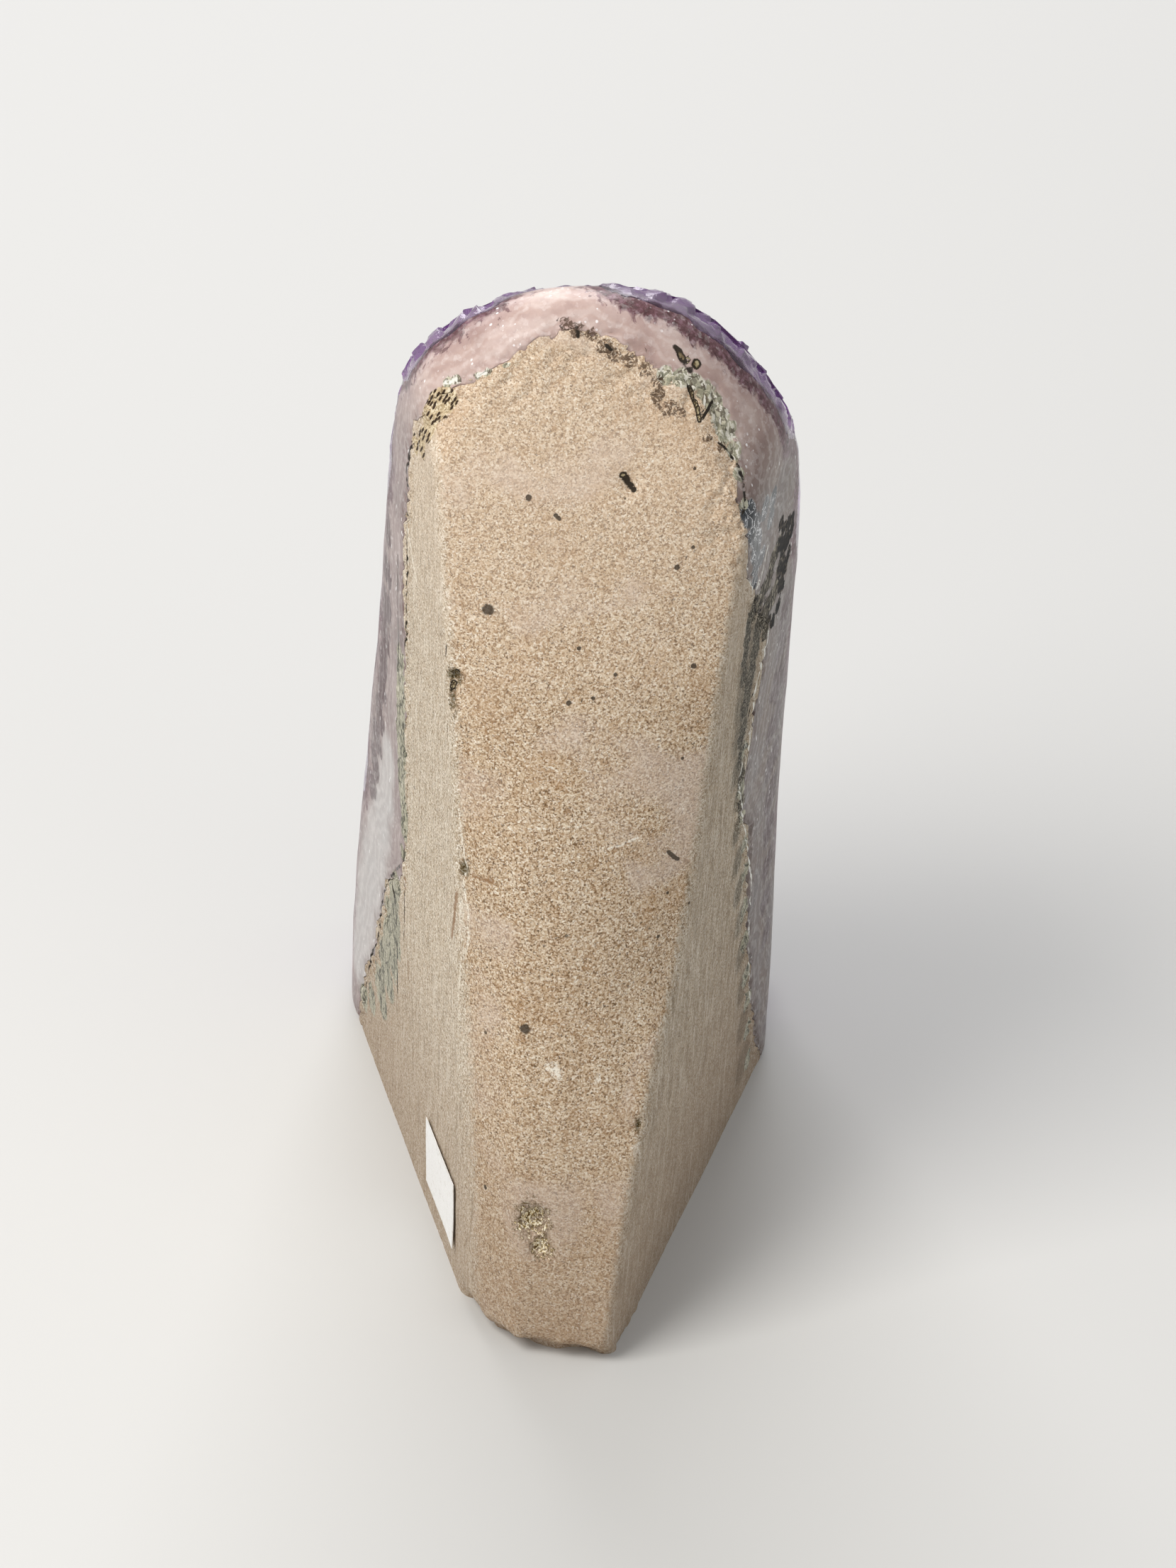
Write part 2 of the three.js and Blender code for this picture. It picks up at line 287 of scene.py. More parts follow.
def relax(mesh: bpy.types.Mesh, rounds: np.ndarray) -> None:
    """Rounds off a mesh by moving each vertex towards the middle of its neighbours.

    Args:
        mesh: the mesh to smooth.
        rounds: how many rounds each vertex takes part in.
    """
    edges = np.empty(len(mesh.edges) * 2, np.int32)
    mesh.edges.foreach_get("vertices", edges)
    first, second = edges.reshape(-1, 2).T
    count = len(mesh.vertices)
    degree = np.bincount(first, minlength=count) + np.bincount(second, minlength=count)
    points = coordinates(mesh)
    for step in range(int(rounds.max())):
        active = np.clip(rounds - step, 0, 1)[:, None] * 0.5
        total = np.empty_like(points)
        for axis in range(3):
            column = points[:, axis]
            total[:, axis] = np.bincount(first, column[second], count) + np.bincount(
                second, column[first], count
            )
        points += active * (total / degree[:, None] - points)
    set_coordinates(mesh, points)


def store(mesh: bpy.types.Mesh, name: str, values: np.ndarray) -> None:
    """Stores one value per vertex as a named attribute."""
    layer = mesh.attributes.new(name, "FLOAT", "POINT")
    layer.data.foreach_set("value", values.astype(np.float32))


def store_offsets(mesh: bpy.types.Mesh, name: str, offsets: np.ndarray) -> None:
    """Stores one vector per vertex as a named attribute."""
    layer = mesh.attributes.new(name, "FLOAT_VECTOR", "POINT")
    layer.data.foreach_set("vector", offsets.astype(np.float32).ravel())


def shade(item: bpy.types.Object, crease_degrees: float) -> None:
    """Shades an object smooth, with hard edges where faces meet at more than an angle."""
    item.data.shade_smooth()
    item.data.set_sharp_from_angle(angle=math.radians(crease_degrees))


# ------------------------------------------------------------- node tree helper


def tone(code: str) -> Colour:
    """The linear colour of a six-digit hex code."""
    values = [int(code[i : i + 2], 16) / 255 for i in (0, 2, 4)]
    red, green, blue = (v / 12.92 if v <= 0.04045 else ((v + 0.055) / 1.055) ** 2.4 for v in values)
    return (red, green, blue, 1.0)


def linear(value):
    """A colour socket as it is, and a hex code as its linear colour."""
    return tone(value) if isinstance(value, str) else value


class Graph:
    """Adds nodes to a node tree and links them, left to right."""

    def __init__(self, tree: bpy.types.NodeTree) -> None:
        """Takes the tree that the nodes go into."""
        self.tree = tree

    def add(self, kind: str, inputs: dict | None = None, **settings) -> bpy.types.Node:
        """Adds a node.

        Args:
            kind: the node's type name.
            inputs: values or sockets, by input name or number.
            settings: the node's own properties.

        Returns:
            The new node.
        """
        node = self.tree.nodes.new(kind)
        for name, value in settings.items():
            setattr(node, name, value)
        self.feed(node, inputs or {})
        return node

    def feed(self, node: bpy.types.Node, inputs: dict) -> None:
        """Links sockets to a node's inputs and sets plain values on them, by input name or number."""
        for key, value in inputs.items():
            if isinstance(value, bpy.types.NodeSocket):
                self.tree.links.new(value, node.inputs[key])
            else:
                node.inputs[key].default_value = value

    def math(self, operation: str, a, b=0.0, c=0.0, clamp: bool = False):
        """A Math node's result."""
        return self.add("ShaderNodeMath", {0: a, 1: b, 2: c}, operation=operation, use_clamp=clamp).outputs[0]

    def times(self, a, b):
        """A product."""
        return self.math("MULTIPLY", a, b)

    def plus(self, a, b):
        """A sum."""
        return self.math("ADD", a, b)

    def minus(self, a, b):
        """A difference."""
        return self.math("SUBTRACT", a, b)

    def times_plus(self, a, b, c):
        """The product of the first two, plus the third."""
        return self.math("MULTIPLY_ADD", a, b, c)

    def larger(self, a, b):
        """The larger of two values."""
        return self.math("MAXIMUM", a, b)

    def smaller(self, a, b):
        """The smaller of two values."""
        return self.math("MINIMUM", a, b)

    def dot(self, a, b):
        """The dot product of two vectors."""
        return self.add("ShaderNodeVectorMath", {0: a, 1: b}, operation="DOT_PRODUCT").outputs["Value"]

    def axis(self, vector, number: int):
        """One coordinate of a vector."""
        return self.add("ShaderNodeSeparateXYZ", {0: vector}).outputs[number]

    def tint(self, colour, code: str, value, low: float, high: float, share: float = 1.0):
        """A colour that turns to another, up to a share, as a value goes from low to high."""
        return self.mix(self.between(value, low, high, 0.0, share), colour, code)

    def distance(self, a, b):
        """The distance between two vectors."""
        return self.add("ShaderNodeVectorMath", {0: a, 1: b}, operation="DISTANCE").outputs["Value"]

    def scaled(self, vector, factors: Point):
        """A vector with each axis scaled by its own factor."""
        return self.add("ShaderNodeMapping", {"Vector": vector, "Scale": factors}).outputs[0]

    def noise(self, vector, *settings: float):
        """A noise texture's value, about 0.5, from its scale, detail, roughness and distortion in order."""
        names = ("Scale", "Detail", "Roughness", "Distortion")
        values = settings + NOISE_DEFAULTS[len(settings) :]
        return self.add("ShaderNodeTexNoise", {"Vector": vector, **dict(zip(names, values))}).outputs["Fac"]

    def warped(self, vector, scale: float, amount: float, detail: float = 2.0):
        """A vector pushed about by noise.

        Args:
            vector: the vector socket to warp.
            scale: the noise's scale.
            amount: how far it is pushed, in the vector's own units.
            detail: the noise's detail.

        Returns:
            The warped vector's socket.
        """
        inputs = {"Vector": vector, "Scale": scale, "Detail": detail}
        push = self.add("ShaderNodeTexNoise", inputs).outputs["Color"]
        pushed = {0: push, 1: (amount, amount, amount), 2: vector}
        return self.add("ShaderNodeVectorMath", pushed, operation="MULTIPLY_ADD").outputs[0]

    def cells(self, vector, scale: float, feature: str = "F1") -> bpy.types.Node:
        """A Voronoi texture node."""
        return self.add("ShaderNodeTexVoronoi", {"Vector": vector, "Scale": scale}, feature=feature)

    def between(self, value, low: float, high: float, out_low: float = 0.0, out_high: float = 1.0):
        """A value eased from one range to another, and held at its ends."""
        inputs = {"Value": value, 1: low, 2: high, 3: out_low, 4: out_high}
        return self.add("ShaderNodeMapRange", inputs, interpolation_type="SMOOTHSTEP").outputs[0]

    def mix(self, factor, a, b, blend: str = "MIX"):
        """Two colours mixed, each a socket or a hex code."""
        node = self.add("ShaderNodeMix", data_type="RGBA", blend_type=blend, clamp_factor=True)
        self.feed(node, {0: factor, 6: linear(a), 7: linear(b)})
        return node.outputs[2]

    def ramp(self, value, *stops: tuple[float, str]):
        """A colour ramp's colour, from its positions and hex codes in order."""
        node = self.add("ShaderNodeValToRGB", {"Fac": value})
        elements = node.color_ramp.elements
        while len(elements) < len(stops):
            elements.new(0.5)
        for element, (position, code) in zip(elements, stops):
            element.position = position
            element.color = tone(code)
        return node.outputs["Color"]

    def attribute(self, name: str):
        """A named attribute's value."""
        return self.add("ShaderNodeAttribute", attribute_name=name).outputs["Fac"]

    def reach(self, strokes: str):
        """How far a place is from the strokes of one name, in half widths, below 1 on a stroke."""
        offset = self.add("ShaderNodeAttribute", attribute_name=strokes).outputs["Vector"]
        return self.add("ShaderNodeVectorMath", {0: offset}, operation="LENGTH").outputs["Value"]

    def one_channel(self, colour, channel: int = 0):
        """One channel of a colour."""
        return self.add("ShaderNodeSeparateColor", {0: colour}).outputs[channel]

    def object_mm(self):
        """Object coordinates in millimetres."""
        place = self.add("ShaderNodeTexCoord").outputs["Object"]
        return self.scaled(place, (1 / MM, 1 / MM, 1 / MM))

    def group(self, tree: bpy.types.NodeTree, inputs: dict) -> bpy.types.Node:
        """Places a node group."""
        node = self.tree.nodes.new("ShaderNodeGroup")
        node.node_tree = tree
        self.feed(node, inputs)
        return node


# ------------------------------------------------------------ the lump's shape


@dataclass
class Contact:
    """A contact between two layers: its y over a grid of x and z, read off the node behind it.

    Attributes:
        node: the frame's node whose front face lies on the contact.
        ragged_mm: how far the contact wanders from the node's smooth face.
        seed: shifts the wander's pattern.
        step_mm: the grid's spacing.
        margin_mm: how far the grid runs past the specimen.
        foot_mm: the height at which the grid starts, below the foot.
        across: the grid's x values, in metres.
        up: its z values.
        height: the contact's y at each of them.
    """

    node: bpy.types.Object
    ragged_mm: float
    seed: float
    step_mm: float = 1.0
    margin_mm: float = 8.0
    foot_mm: float = -6.0
    across: np.ndarray = field(init=False)
    up: np.ndarray = field(init=False)
    height: np.ndarray = field(init=False)

    def __post_init__(self) -> None:
        """Samples the contact."""
        low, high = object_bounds()
        margin = self.margin_mm * MM
        step = self.step_mm * MM
        self.across = np.arange(low[0] - margin, high[0] + margin, step)
        self.up = np.arange(self.foot_mm * MM, high[2] + margin, step)
        self.height = self._sampled(low[1] - margin)

    def _sampled(self, start_y: float) -> np.ndarray:
        """Shoots a ray along +Y at each grid point. A point that misses takes its nearest neighbour's y."""
        tree = bvh_of(self.node)
        grid = [(x, z) for x in self.across for z in self.up]
        found = []
        for x, z in grid:
            hit = tree.ray_cast((x, start_y, max(z, 0.0005)), (0, 1, 0))[0]
            found.append(None if hit is None else hit.y)
        known = [i for i, y in enumerate(found) if y is not None]
        finder = KDTree(len(known))
        for i in known:
            finder.insert((grid[i][0], 0, grid[i][1]), i)
        finder.balance()
        filled = [
            found[finder.find((x, 0, z))[1]] if y is None else y for (x, z), y in zip(grid, found)
        ]
        return np.array(filled).reshape(len(self.across), len(self.up))

    def at(self, points: np.ndarray) -> np.ndarray:
        """How far each point lies behind the smooth contact, in millimetres, below zero in front of it."""
        i = (points[:, 0] - self.across[0]) / (self.step_mm * MM)
        j = (points[:, 2] - self.up[0]) / (self.step_mm * MM)
        i = np.clip(i.round().astype(int), 0, len(self.across) - 1)
        j = np.clip(j.round().astype(int), 0, len(self.up) - 1)
        return (points[:, 1] - self.height[i, j]) / MM

    def block(self, offset_mm: float) -> bpy.types.Object:
        """Everything in front of the contact, as a closed block with the ragged contact as its back.

        Args:
            offset_mm: how far the block's back lies behind the contact.

        Returns:
            A working object, to be dropped after use.
        """
        columns, rows = self.height.shape
        grid_x, grid_z = np.meshgrid(self.across, self.up, indexing="ij")
        back = np.stack([grid_x, self.height + offset_mm * MM, grid_z], -1).reshape(-1, 3)
        back[:, 1] += self.ragged_mm * MM * noise_at(back * [1, 0, 1], 5.0, self.seed, 3)
        front = back.copy()
        front[:, 1] = FRONT_Y
        at = np.arange(columns * rows).reshape(columns, rows)
        quads = cells_of(at).reshape(-1, 4)
        loop = np.concatenate([at[:, 0], at[-1, 1:], at[-2::-1, -1], at[0, -2:0:-1]])
        behind = len(back)
        sides = [(a, a + behind, b + behind, b) for a, b in zip(loop, np.roll(loop, -1))]
        faces = [*(quads[:, ::-1]).tolist(), *(quads + behind).tolist(), *sides]
        item = mesh_object("block", np.concatenate([back, front]), faces)
        face_outward(item)
        return item


@dataclass(frozen=True)
class Pit:
    """A gas bubble that opens on the ground back: its middle, half width, half height and depth."""

    middle: Point
    half_width: float
    half_height: float
    depth: float


PIT_REACH_MM = 3.5
PIT_RAGGED = 0.35
PIT_FAR = 9.0
PITS = (
    Pit((3.8, 54.0, 25.0), 2.9, 3.6, 1.3),
    Pit((2.4, 54.7, 20.4), 1.6, 2.2, 1.1),
    Pit((17.9, 28.1, 112.2), 1.3, 1.5, 1.2),
    Pit((18.2, 29.3, 108.6), 0.7, 3.0, 0.8),
    Pit((-12.5, 48.6, 41.2), 0.5, 1.3, 0.5),
    Pit((15.7, 35.1, 80.6), 0.8, 1.5, 0.4),
)


def pit_reaches(points: np.ndarray) -> list[np.ndarray]:
    """How far each point is from each pit: 0 at its middle, 1 at its ragged rim."""
    wander = PIT_RAGGED * noise_at(points, 1.9, 7.0, 2)
    scales = [(pit.half_width, PIT_REACH_MM, pit.half_height) for pit in PITS]
    offsets = [(points / MM - pit.middle) / scale for pit, scale in zip(PITS, scales)]
    return [np.linalg.norm(offset, axis=1) + wander for offset in offsets]


@dataclass(frozen=True)
class SawCut:
    """A flat side cut: its name, a place on it and its outward direction."""

    name: str
    place: Point
    outward: Point

    def at(self, points: np.ndarray) -> np.ndarray:
        """1 where a point lies on the cut, easing to 0 well below it."""
        direction = np.array(self.outward) / np.linalg.norm(self.outward)
        return smooth_step(1.8, 0.2, np.abs((points / MM - self.place) @ direction))


SAW_CUTS = (
    SawCut("cut_left", (34.14, -30.11, 0.0), (0.9666, 0.2567, 0.0)),
    SawCut("cut_right", (-34.46, -27.51, 0.0), (-0.9576, 0.2883, -0.048)),
)


@dataclass
class Lump:
    """The whole specimen's worked skin, which is parted into its layers.

    Attributes:
        nodes: the frame's nodes by name.
        voxel_mm: the size of the skin's faces.
        polish_rounds: how many smoothing rounds the polished rim gets.
        ground_rounds: how many the ground basalt gets.
        seam_mm: the width of the open seam between basalt and agate.
        bed_mm: how deep the druse is in which no point stands clear.
        below_foot_mm: how far the layers run on below the foot before they are sawn off.
        agate_contact: the contact of basalt and agate.
        druse_contact: the contact of agate and druse.
    """

    nodes: dict[str, bpy.types.Object]
    voxel_mm: float = 0.65
    polish_rounds: int = 70
    ground_rounds: int = 14
    seam_mm: float = 0.16
    bed_mm: float = 7.5
    below_foot_mm: float = 4.0
    agate_contact: Contact = field(init=False)
    druse_contact: Contact = field(init=False)

    def __post_init__(self) -> None:
        """Reads the two contacts off the nodes behind them."""
        self.agate_contact = Contact(self.nodes["basalt_matrix"], 0.55, 1.0)
        self.druse_contact = Contact(self.nodes["agate_band"], 0.9, 2.0)

    def _overlapped(self, name: str, behind: str | None) -> bpy.types.Object:
        """Copies a node, runs it on below the foot, and closes its gap to the node behind it."""
        item = merged_copy(self.nodes[name], f"work_{name}")
        points = coordinates(item.data)
        if behind:
            near = distances_mm(points, bvh_of(self.nodes[behind])) < LAYER_GAP_MM
            points[near, 1] += LAYER_OVERLAP_MM * MM
        points[points[:, 2] < 0.01 * MM, 2] = -self.below_foot_mm * MM
        set_coordinates(item.data, points)
        return item

    def skin(self) -> bpy.types.Object:
        """Builds the worked skin of the whole lump.

        Returns:
            A working object that is closed and flat at its foot.
        """
        layers = [
            self._overlapped("basalt_matrix", None),
            self._overlapped("agate_band", "basalt_matrix"),
            self._overlapped("amethyst_crystals", "agate_band"),
        ]
        joined = bmesh.new()
        for layer in layers:
            joined.from_mesh(layer.data)
            drop(layer)
        mesh = bpy.data.meshes.new("lump")
        joined.to_mesh(mesh)
        joined.free()
        lump = link_object("lump", mesh)
        modifier = lump.modifiers.new("skin", "REMESH")
        modifier.mode = "VOXEL"
        modifier.voxel_size = self.voxel_mm * MM
        bake_modifiers(lump)
        points = coordinates(lump.data)
        is_basalt = self.agate_contact.at(points) > 0.8
        relax(lump.data, np.where(is_basalt, self.ground_rounds, self.polish_rounds).astype(float))
        self._relief(lump.data)
        saw_foot(lump)
        return lump

    def _relief(self, mesh: bpy.types.Mesh) -> None:
        """Works the low relief into the skin: saw waves, a ground roughness, pits and a cracked contact."""
        points = coordinates(mesh)
        behind_mm = self.agate_contact.at(points)
        basalt = smooth_step(-0.4, 0.8, behind_mm)
        relief = (1 - basalt) * 0.10 * noise_at(points, 11.0, 3.0)
        relief += basalt * 0.12 * noise_at(points, 16.0, 4.0)
        relief += basalt * 0.05 * noise_at(points, 1.6, 5.0)
        cracked = np.abs(noise_at(points, 3.2, 6.0, 2))
        near_seam = smooth_step(4.0, 0.3, np.abs(behind_mm - 1.2))
        relief -= near_seam * 0.5 * smooth_step(0.22, 0.02, cracked)
        for pit, reach in zip(PITS, pit_reaches(points)):
            relief -= pit.depth * smooth_step(1.05, 0.45, reach)
        crystal = smooth_step(0.6, 2.4, -self.druse_contact.at(points))
        crystal *= smooth_step(116, 146, points[:, 2] / MM)
        relief += crystal * facets_at(points, 2.6, 0.75)
        chips = smooth_step(7.0, 0.0, points[:, 2] / MM) * smooth_step(38.0, 46.0, points[:, 1] / MM)
        relief += chips * 0.5 * noise_at(points, 2.6, 8.0, 2)
        set_coordinates(mesh, points + vertex_normals(mesh) * (relief * MM)[:, None])

    def part(self, lump: bpy.types.Object) -> tuple[bpy.types.Object, bpy.types.Object, bpy.types.Object]:
        """Parts the lump along its contacts.

        Args:
            lump: the worked skin. It is used up.

        Returns:
            The basalt, the agate and the bed of the druse.
        """
        before_basalt = self.agate_contact.block(self.seam_mm / 2)
        before_seam = self.agate_contact.block(-self.seam_mm / 2)
        before_druse = self.druse_contact.block(0.0)
        before_points = self.druse_contact.block(-self.bed_mm)
        basalt = link_object("basalt_back", lump.data.copy())
        carve(basalt, before_basalt, "DIFFERENCE")
        agate = link_object("agate_rim", lump.data.copy())
        carve(agate, before_seam, "INTERSECT")
        bed = link_object("amethyst_druse", agate.data.copy())
        carve(agate, before_druse, "DIFFERENCE")
        carve(bed, before_druse, "INTERSECT")
        carve(bed, before_points, "DIFFERENCE")
        for tool in (before_basalt, before_seam, before_druse, before_points, lump):
            drop(tool)
        return basalt, agate, bed


# ------------------------------------------------------------- the druse's points


def seed_crystal() -> bpy.types.Object:
    """A six-sided point of unit radius along +Z, its root at the origin, to be repeated."""
    sides = 6
    shoulder = 1.1
    tip = (0.08, -0.05, shoulder + 1.15)
    ring = [(math.cos(math.tau * i / sides), math.sin(math.tau * i / sides)) for i in range(sides)]
    points = [(x, y, 0.0) for x, y in ring]
    points += [(x, y, shoulder + 0.12 * (i % 2)) for i, (x, y) in enumerate(ring)]
    points.append(tip)
    faces: list[tuple[int, ...]] = [tuple(range(sides - 1, -1, -1))]
    for i in range(sides):
        j = (i + 1) % sides
        faces.append((i, j, sides + j, sides + i))
        faces.append((sides + i, sides + j, 2 * sides))
    return mesh_object("seed_crystal", points, faces)


@dataclass
class CrystalGrowth:
    """A Geometry Nodes tree that grows small points all over a surface.

    Attributes:
        spacing_mm: how close two points may stand.
        radius_mm: the smallest and largest radius.
        lean: how far a point may lean, in radians.
        stretch: the smallest and largest length against the radius.
        seed: the seed of everything random.
        tree: the tree itself.
        sockets: the identifier of each of its inputs, by name.
    """

    spacing_mm: float = 3.6
    radius_mm: tuple[float, float] = (1.2, 3.2)
    lean: float = 0.55
    stretch: tuple[float, float] = (1.2, 2.2)
    seed: int = 4
    tree: bpy.types.NodeTree = field(init=False)
    sockets: dict[str, str] = field(init=False, default_factory=dict)

    def __post_init__(self) -> None:
        """Builds the tree."""
        self.tree = bpy.data.node_groups.new("crystal_growth", "GeometryNodeTree")
        kinds = {
            "Surface": "NodeSocketGeometry",
            "Crystal": "NodeSocketObject",
            "Material": "NodeSocketMaterial",
            "Spacing": "NodeSocketFloat",
            "Smallest": "NodeSocketFloat",
            "Largest": "NodeSocketFloat",
            "Shortest": "NodeSocketFloat",
            "Longest": "NodeSocketFloat",
            "Lean": "NodeSocketFloat",
            "Seed": "NodeSocketInt",
        }
        for name, kind in kinds.items():
            socket = self.tree.interface.new_socket(name, in_out="INPUT", socket_type=kind)
            self.sockets[name] = socket.identifier
        self.tree.interface.new_socket("Crystals", in_out="OUTPUT", socket_type="NodeSocketGeometry")
        self._fill()

    def _fill(self) -> None:
        """Adds the tree's nodes."""
        graph = Graph(self.tree)
        given = graph.add("NodeGroupInput").outputs
        spread = graph.add(
            "GeometryNodeDistributePointsOnFaces",
            {
                "Mesh": given["Surface"],
                "Distance Min": given["Spacing"],
                "Density Max": 400000.0,
                "Seed": given["Seed"],
            },
            distribute_method="POISSON",
        ).outputs
        radius = self._random(graph, given["Smallest"], given["Largest"], given["Seed"], 1)
        length = self._random(graph, given["Shortest"], given["Longest"], given["Seed"], 2)
        less = graph.times(given["Lean"], -1.0)
        lean_x = self._random(graph, less, given["Lean"], given["Seed"], 3)
        lean_y = self._random(graph, less, given["Lean"], given["Seed"], 4)
        turn = self._random(graph, 0.0, math.pi, given["Seed"], 5)
        euler = graph.add("ShaderNodeCombineXYZ", {0: lean_x, 1: lean_y, 2: turn}).outputs[0]
        twist = graph.add("FunctionNodeEulerToRotation", {0: euler}).outputs[0]
        rotation = graph.add(
            "FunctionNodeRotateRotation", {0: spread["Rotation"], 1: twist}, rotation_space="LOCAL"
        ).outputs[0]
        tall = graph.times(radius, length)
        scale = graph.add("ShaderNodeCombineXYZ", {0: radius, 1: radius, 2: tall}).outputs[0]
        crystal = graph.add("GeometryNodeObjectInfo", {"Object": given["Crystal"]}).outputs["Geometry"]
        copies = graph.add(
            "GeometryNodeInstanceOnPoints",
            {"Points": spread["Points"], "Instance": crystal, "Rotation": rotation, "Scale": scale},
        ).outputs[0]
        real = graph.add("GeometryNodeRealizeInstances", {0: copies}).outputs[0]
        dressed = graph.add(
            "GeometryNodeSetMaterial", {"Geometry": real, "Material": given["Material"]}
        ).outputs[0]
        graph.add("NodeGroupOutput", {0: dressed})

    @staticmethod
    def _random(graph: Graph, low, high, seed, salt: int):
        """A random value per point, from low to high."""
        salted = graph.plus(seed, float(salt * 31))
        node = graph.add("FunctionNodeRandomValue", {2: low, 3: high, 8: salted}, data_type="FLOAT")
        return node.outputs[1]

    def grow(
        self, surface: bpy.types.Object, crystal: bpy.types.Object, material: bpy.types.Material
    ) -> None:
        """Replaces a surface by the points that grow on it.

        Args:
            surface: the object whose mesh is replaced.
            crystal: the point that is repeated.
            material: the points' material.
        """
        modifier = surface.modifiers.new("growth", "NODES")
        modifier.node_group = self.tree
        values = {
            "Crystal": crystal,
            "Material": material,
            "Spacing": self.spacing_mm * MM,
            "Smallest": self.radius_mm[0] * MM,
            "Largest": self.radius_mm[1] * MM,
            "Shortest": self.stretch[0],
            "Longest": self.stretch[1],
            "Lean": self.lean,
            "Seed": self.seed,
        }
        for name, value in values.items():
            modifier[self.sockets[name]] = value
        bake_modifiers(surface)


@dataclass
class Druse:
    """The crystal front: the frame's own points, smaller ones between them, and the bed they share.

    Attributes:
        node: the frame's node of the crystals.
        contact: the contact with the agate.
        growth: the tree that grows the small points.
        bed_mm: how deep the bed is.
        behind: the nodes of the layers behind the crystals.
        overlap_mm: how far the points reach back into the bed.
        valley_mm: how far in front of the contact the small points are rooted.
        border_mm: how far the small points stay from the outline.
        druse: the search tree of the crystals' node.
        layers: the search tree of all three layers.
    """

    node: bpy.types.Object
    contact: Contact
    growth: CrystalGrowth
    bed_mm: float
    behind: tuple[bpy.types.Object, ...]
    overlap_mm: float = 1.0
    valley_mm: float = 9.0
    border_mm: float = 3.0
    druse: BVHTree = field(init=False)
    layers: BVHTree = field(init=False)

    def __post_init__(self) -> None:
        """Prepares the search trees that keep the small points in bounds."""
        self.druse = bvh_of(self.node)
        joined = bmesh.new()
        for layer in (self.node, *self.behind):
            joined.from_mesh(layer.data)
        self.layers = BVHTree.FromBMesh(joined)
        joined.free()

    def build(self, bed: bpy.types.Object, material: bpy.types.Material) -> bpy.types.Object:
        """Joins the frame's points and the small ones to the bed.

        Args:
            bed: the smooth bed of the druse. It becomes the whole druse.
            material: the amethyst's material.

        Returns:
            The finished druse.
        """
        front = self.contact.block(self.overlap_mm - self.bed_mm)
        points = merged_copy(self.node, "work_points")
        carve(points, front, "INTERSECT")
        small = self._valley(bvh_of(points))
        crystal = seed_crystal()
        self.growth.grow(small, crystal, material)
        drop(crystal)
        for group in self._apart(small):
            carve(points, group, "UNION")
            drop(group)
        drop(small)
        carve(bed, points, "UNION")
        drop(points)
        drop(front)
        saw_foot(bed)
        return bed

    def _valley(self, points: BVHTree) -> bpy.types.Object:
        """The surface that the small points grow from, low between the large ones."""
        x, z = np.meshgrid(self.contact.across, self.contact.up, indexing="ij")
        y = self.contact.height - self.valley_mm * MM
        border = self.border_mm * MM
        sides = [(0, 0), (border, 0), (-border, 0), (0, border), (0, -border)]

        def inside(px: float, pz: float) -> bool:
            """Whether the druse lies behind a point of the front view, border and all."""
            return all(points.ray_cast((px + a, FRONT_Y, pz + b), (0, 1, 0))[0] is not None for a, b in sides)

        keep = np.array([inside(a, b) for a, b in zip(x.ravel(), z.ravel())]).reshape(x.shape)
        at = np.arange(x.size).reshape(x.shape)
        grid = np.stack([x, y, z], -1).reshape(-1, 3)
        return mesh_object("valley", grid, cells_of(at)[cells_of(keep).all(-1)].tolist())

    def _apart(self, small: bpy.types.Object) -> list[bpy.types.Object]:
        """Sorts the small points that stay low into groups of ones that stand clear of each other."""
        points = coordinates(small.data)
        corners = CRYSTAL_CORNERS
        crystals = points.reshape(-1, corners, 3)
        middles = crystals.mean(1)
        reach = np.linalg.norm(crystals - middles[:, None], axis=2).max(1)
        faces = [tuple(p.vertices) for p in small.data.polygons]
        per_crystal = len(faces) // len(crystals)
        groups: list[list[int]] = []
        for i, crystal in enumerate(crystals.tolist()):
            if not self._stays_low(crystal):
                continue
            for members in groups:
                gaps = np.linalg.norm(middles[members] - middles[i], axis=1) - reach[members]
                if (gaps > reach[i]).all():
                    members.append(i)
                    break
            else:
                groups.append([i])
        found = []
        for members in groups:
            places = crystals[members].reshape(-1, 3)
            local = [
                tuple(v - i * corners + n * corners for v in faces[i * per_crystal + f])
                for n, i in enumerate(members)
                for f in range(per_crystal)
            ]
            found.append(mesh_object("group", places, local))
        return found

    def _stays_low(self, crystal: list[list[float]]) -> bool:
        """Whether a point stays within the druse's outline and below the rim as seen from behind."""
        upward = (0.0, 0.8, 0.6)
        within = all(self.druse.ray_cast((x, FRONT_Y, z), (0, 1, 0))[0] for x, _, z in crystal)
        return within and all(self.layers.ray_cast(place, upward)[0] for place in crystal)


# ------------------------------------------------------------------- the label


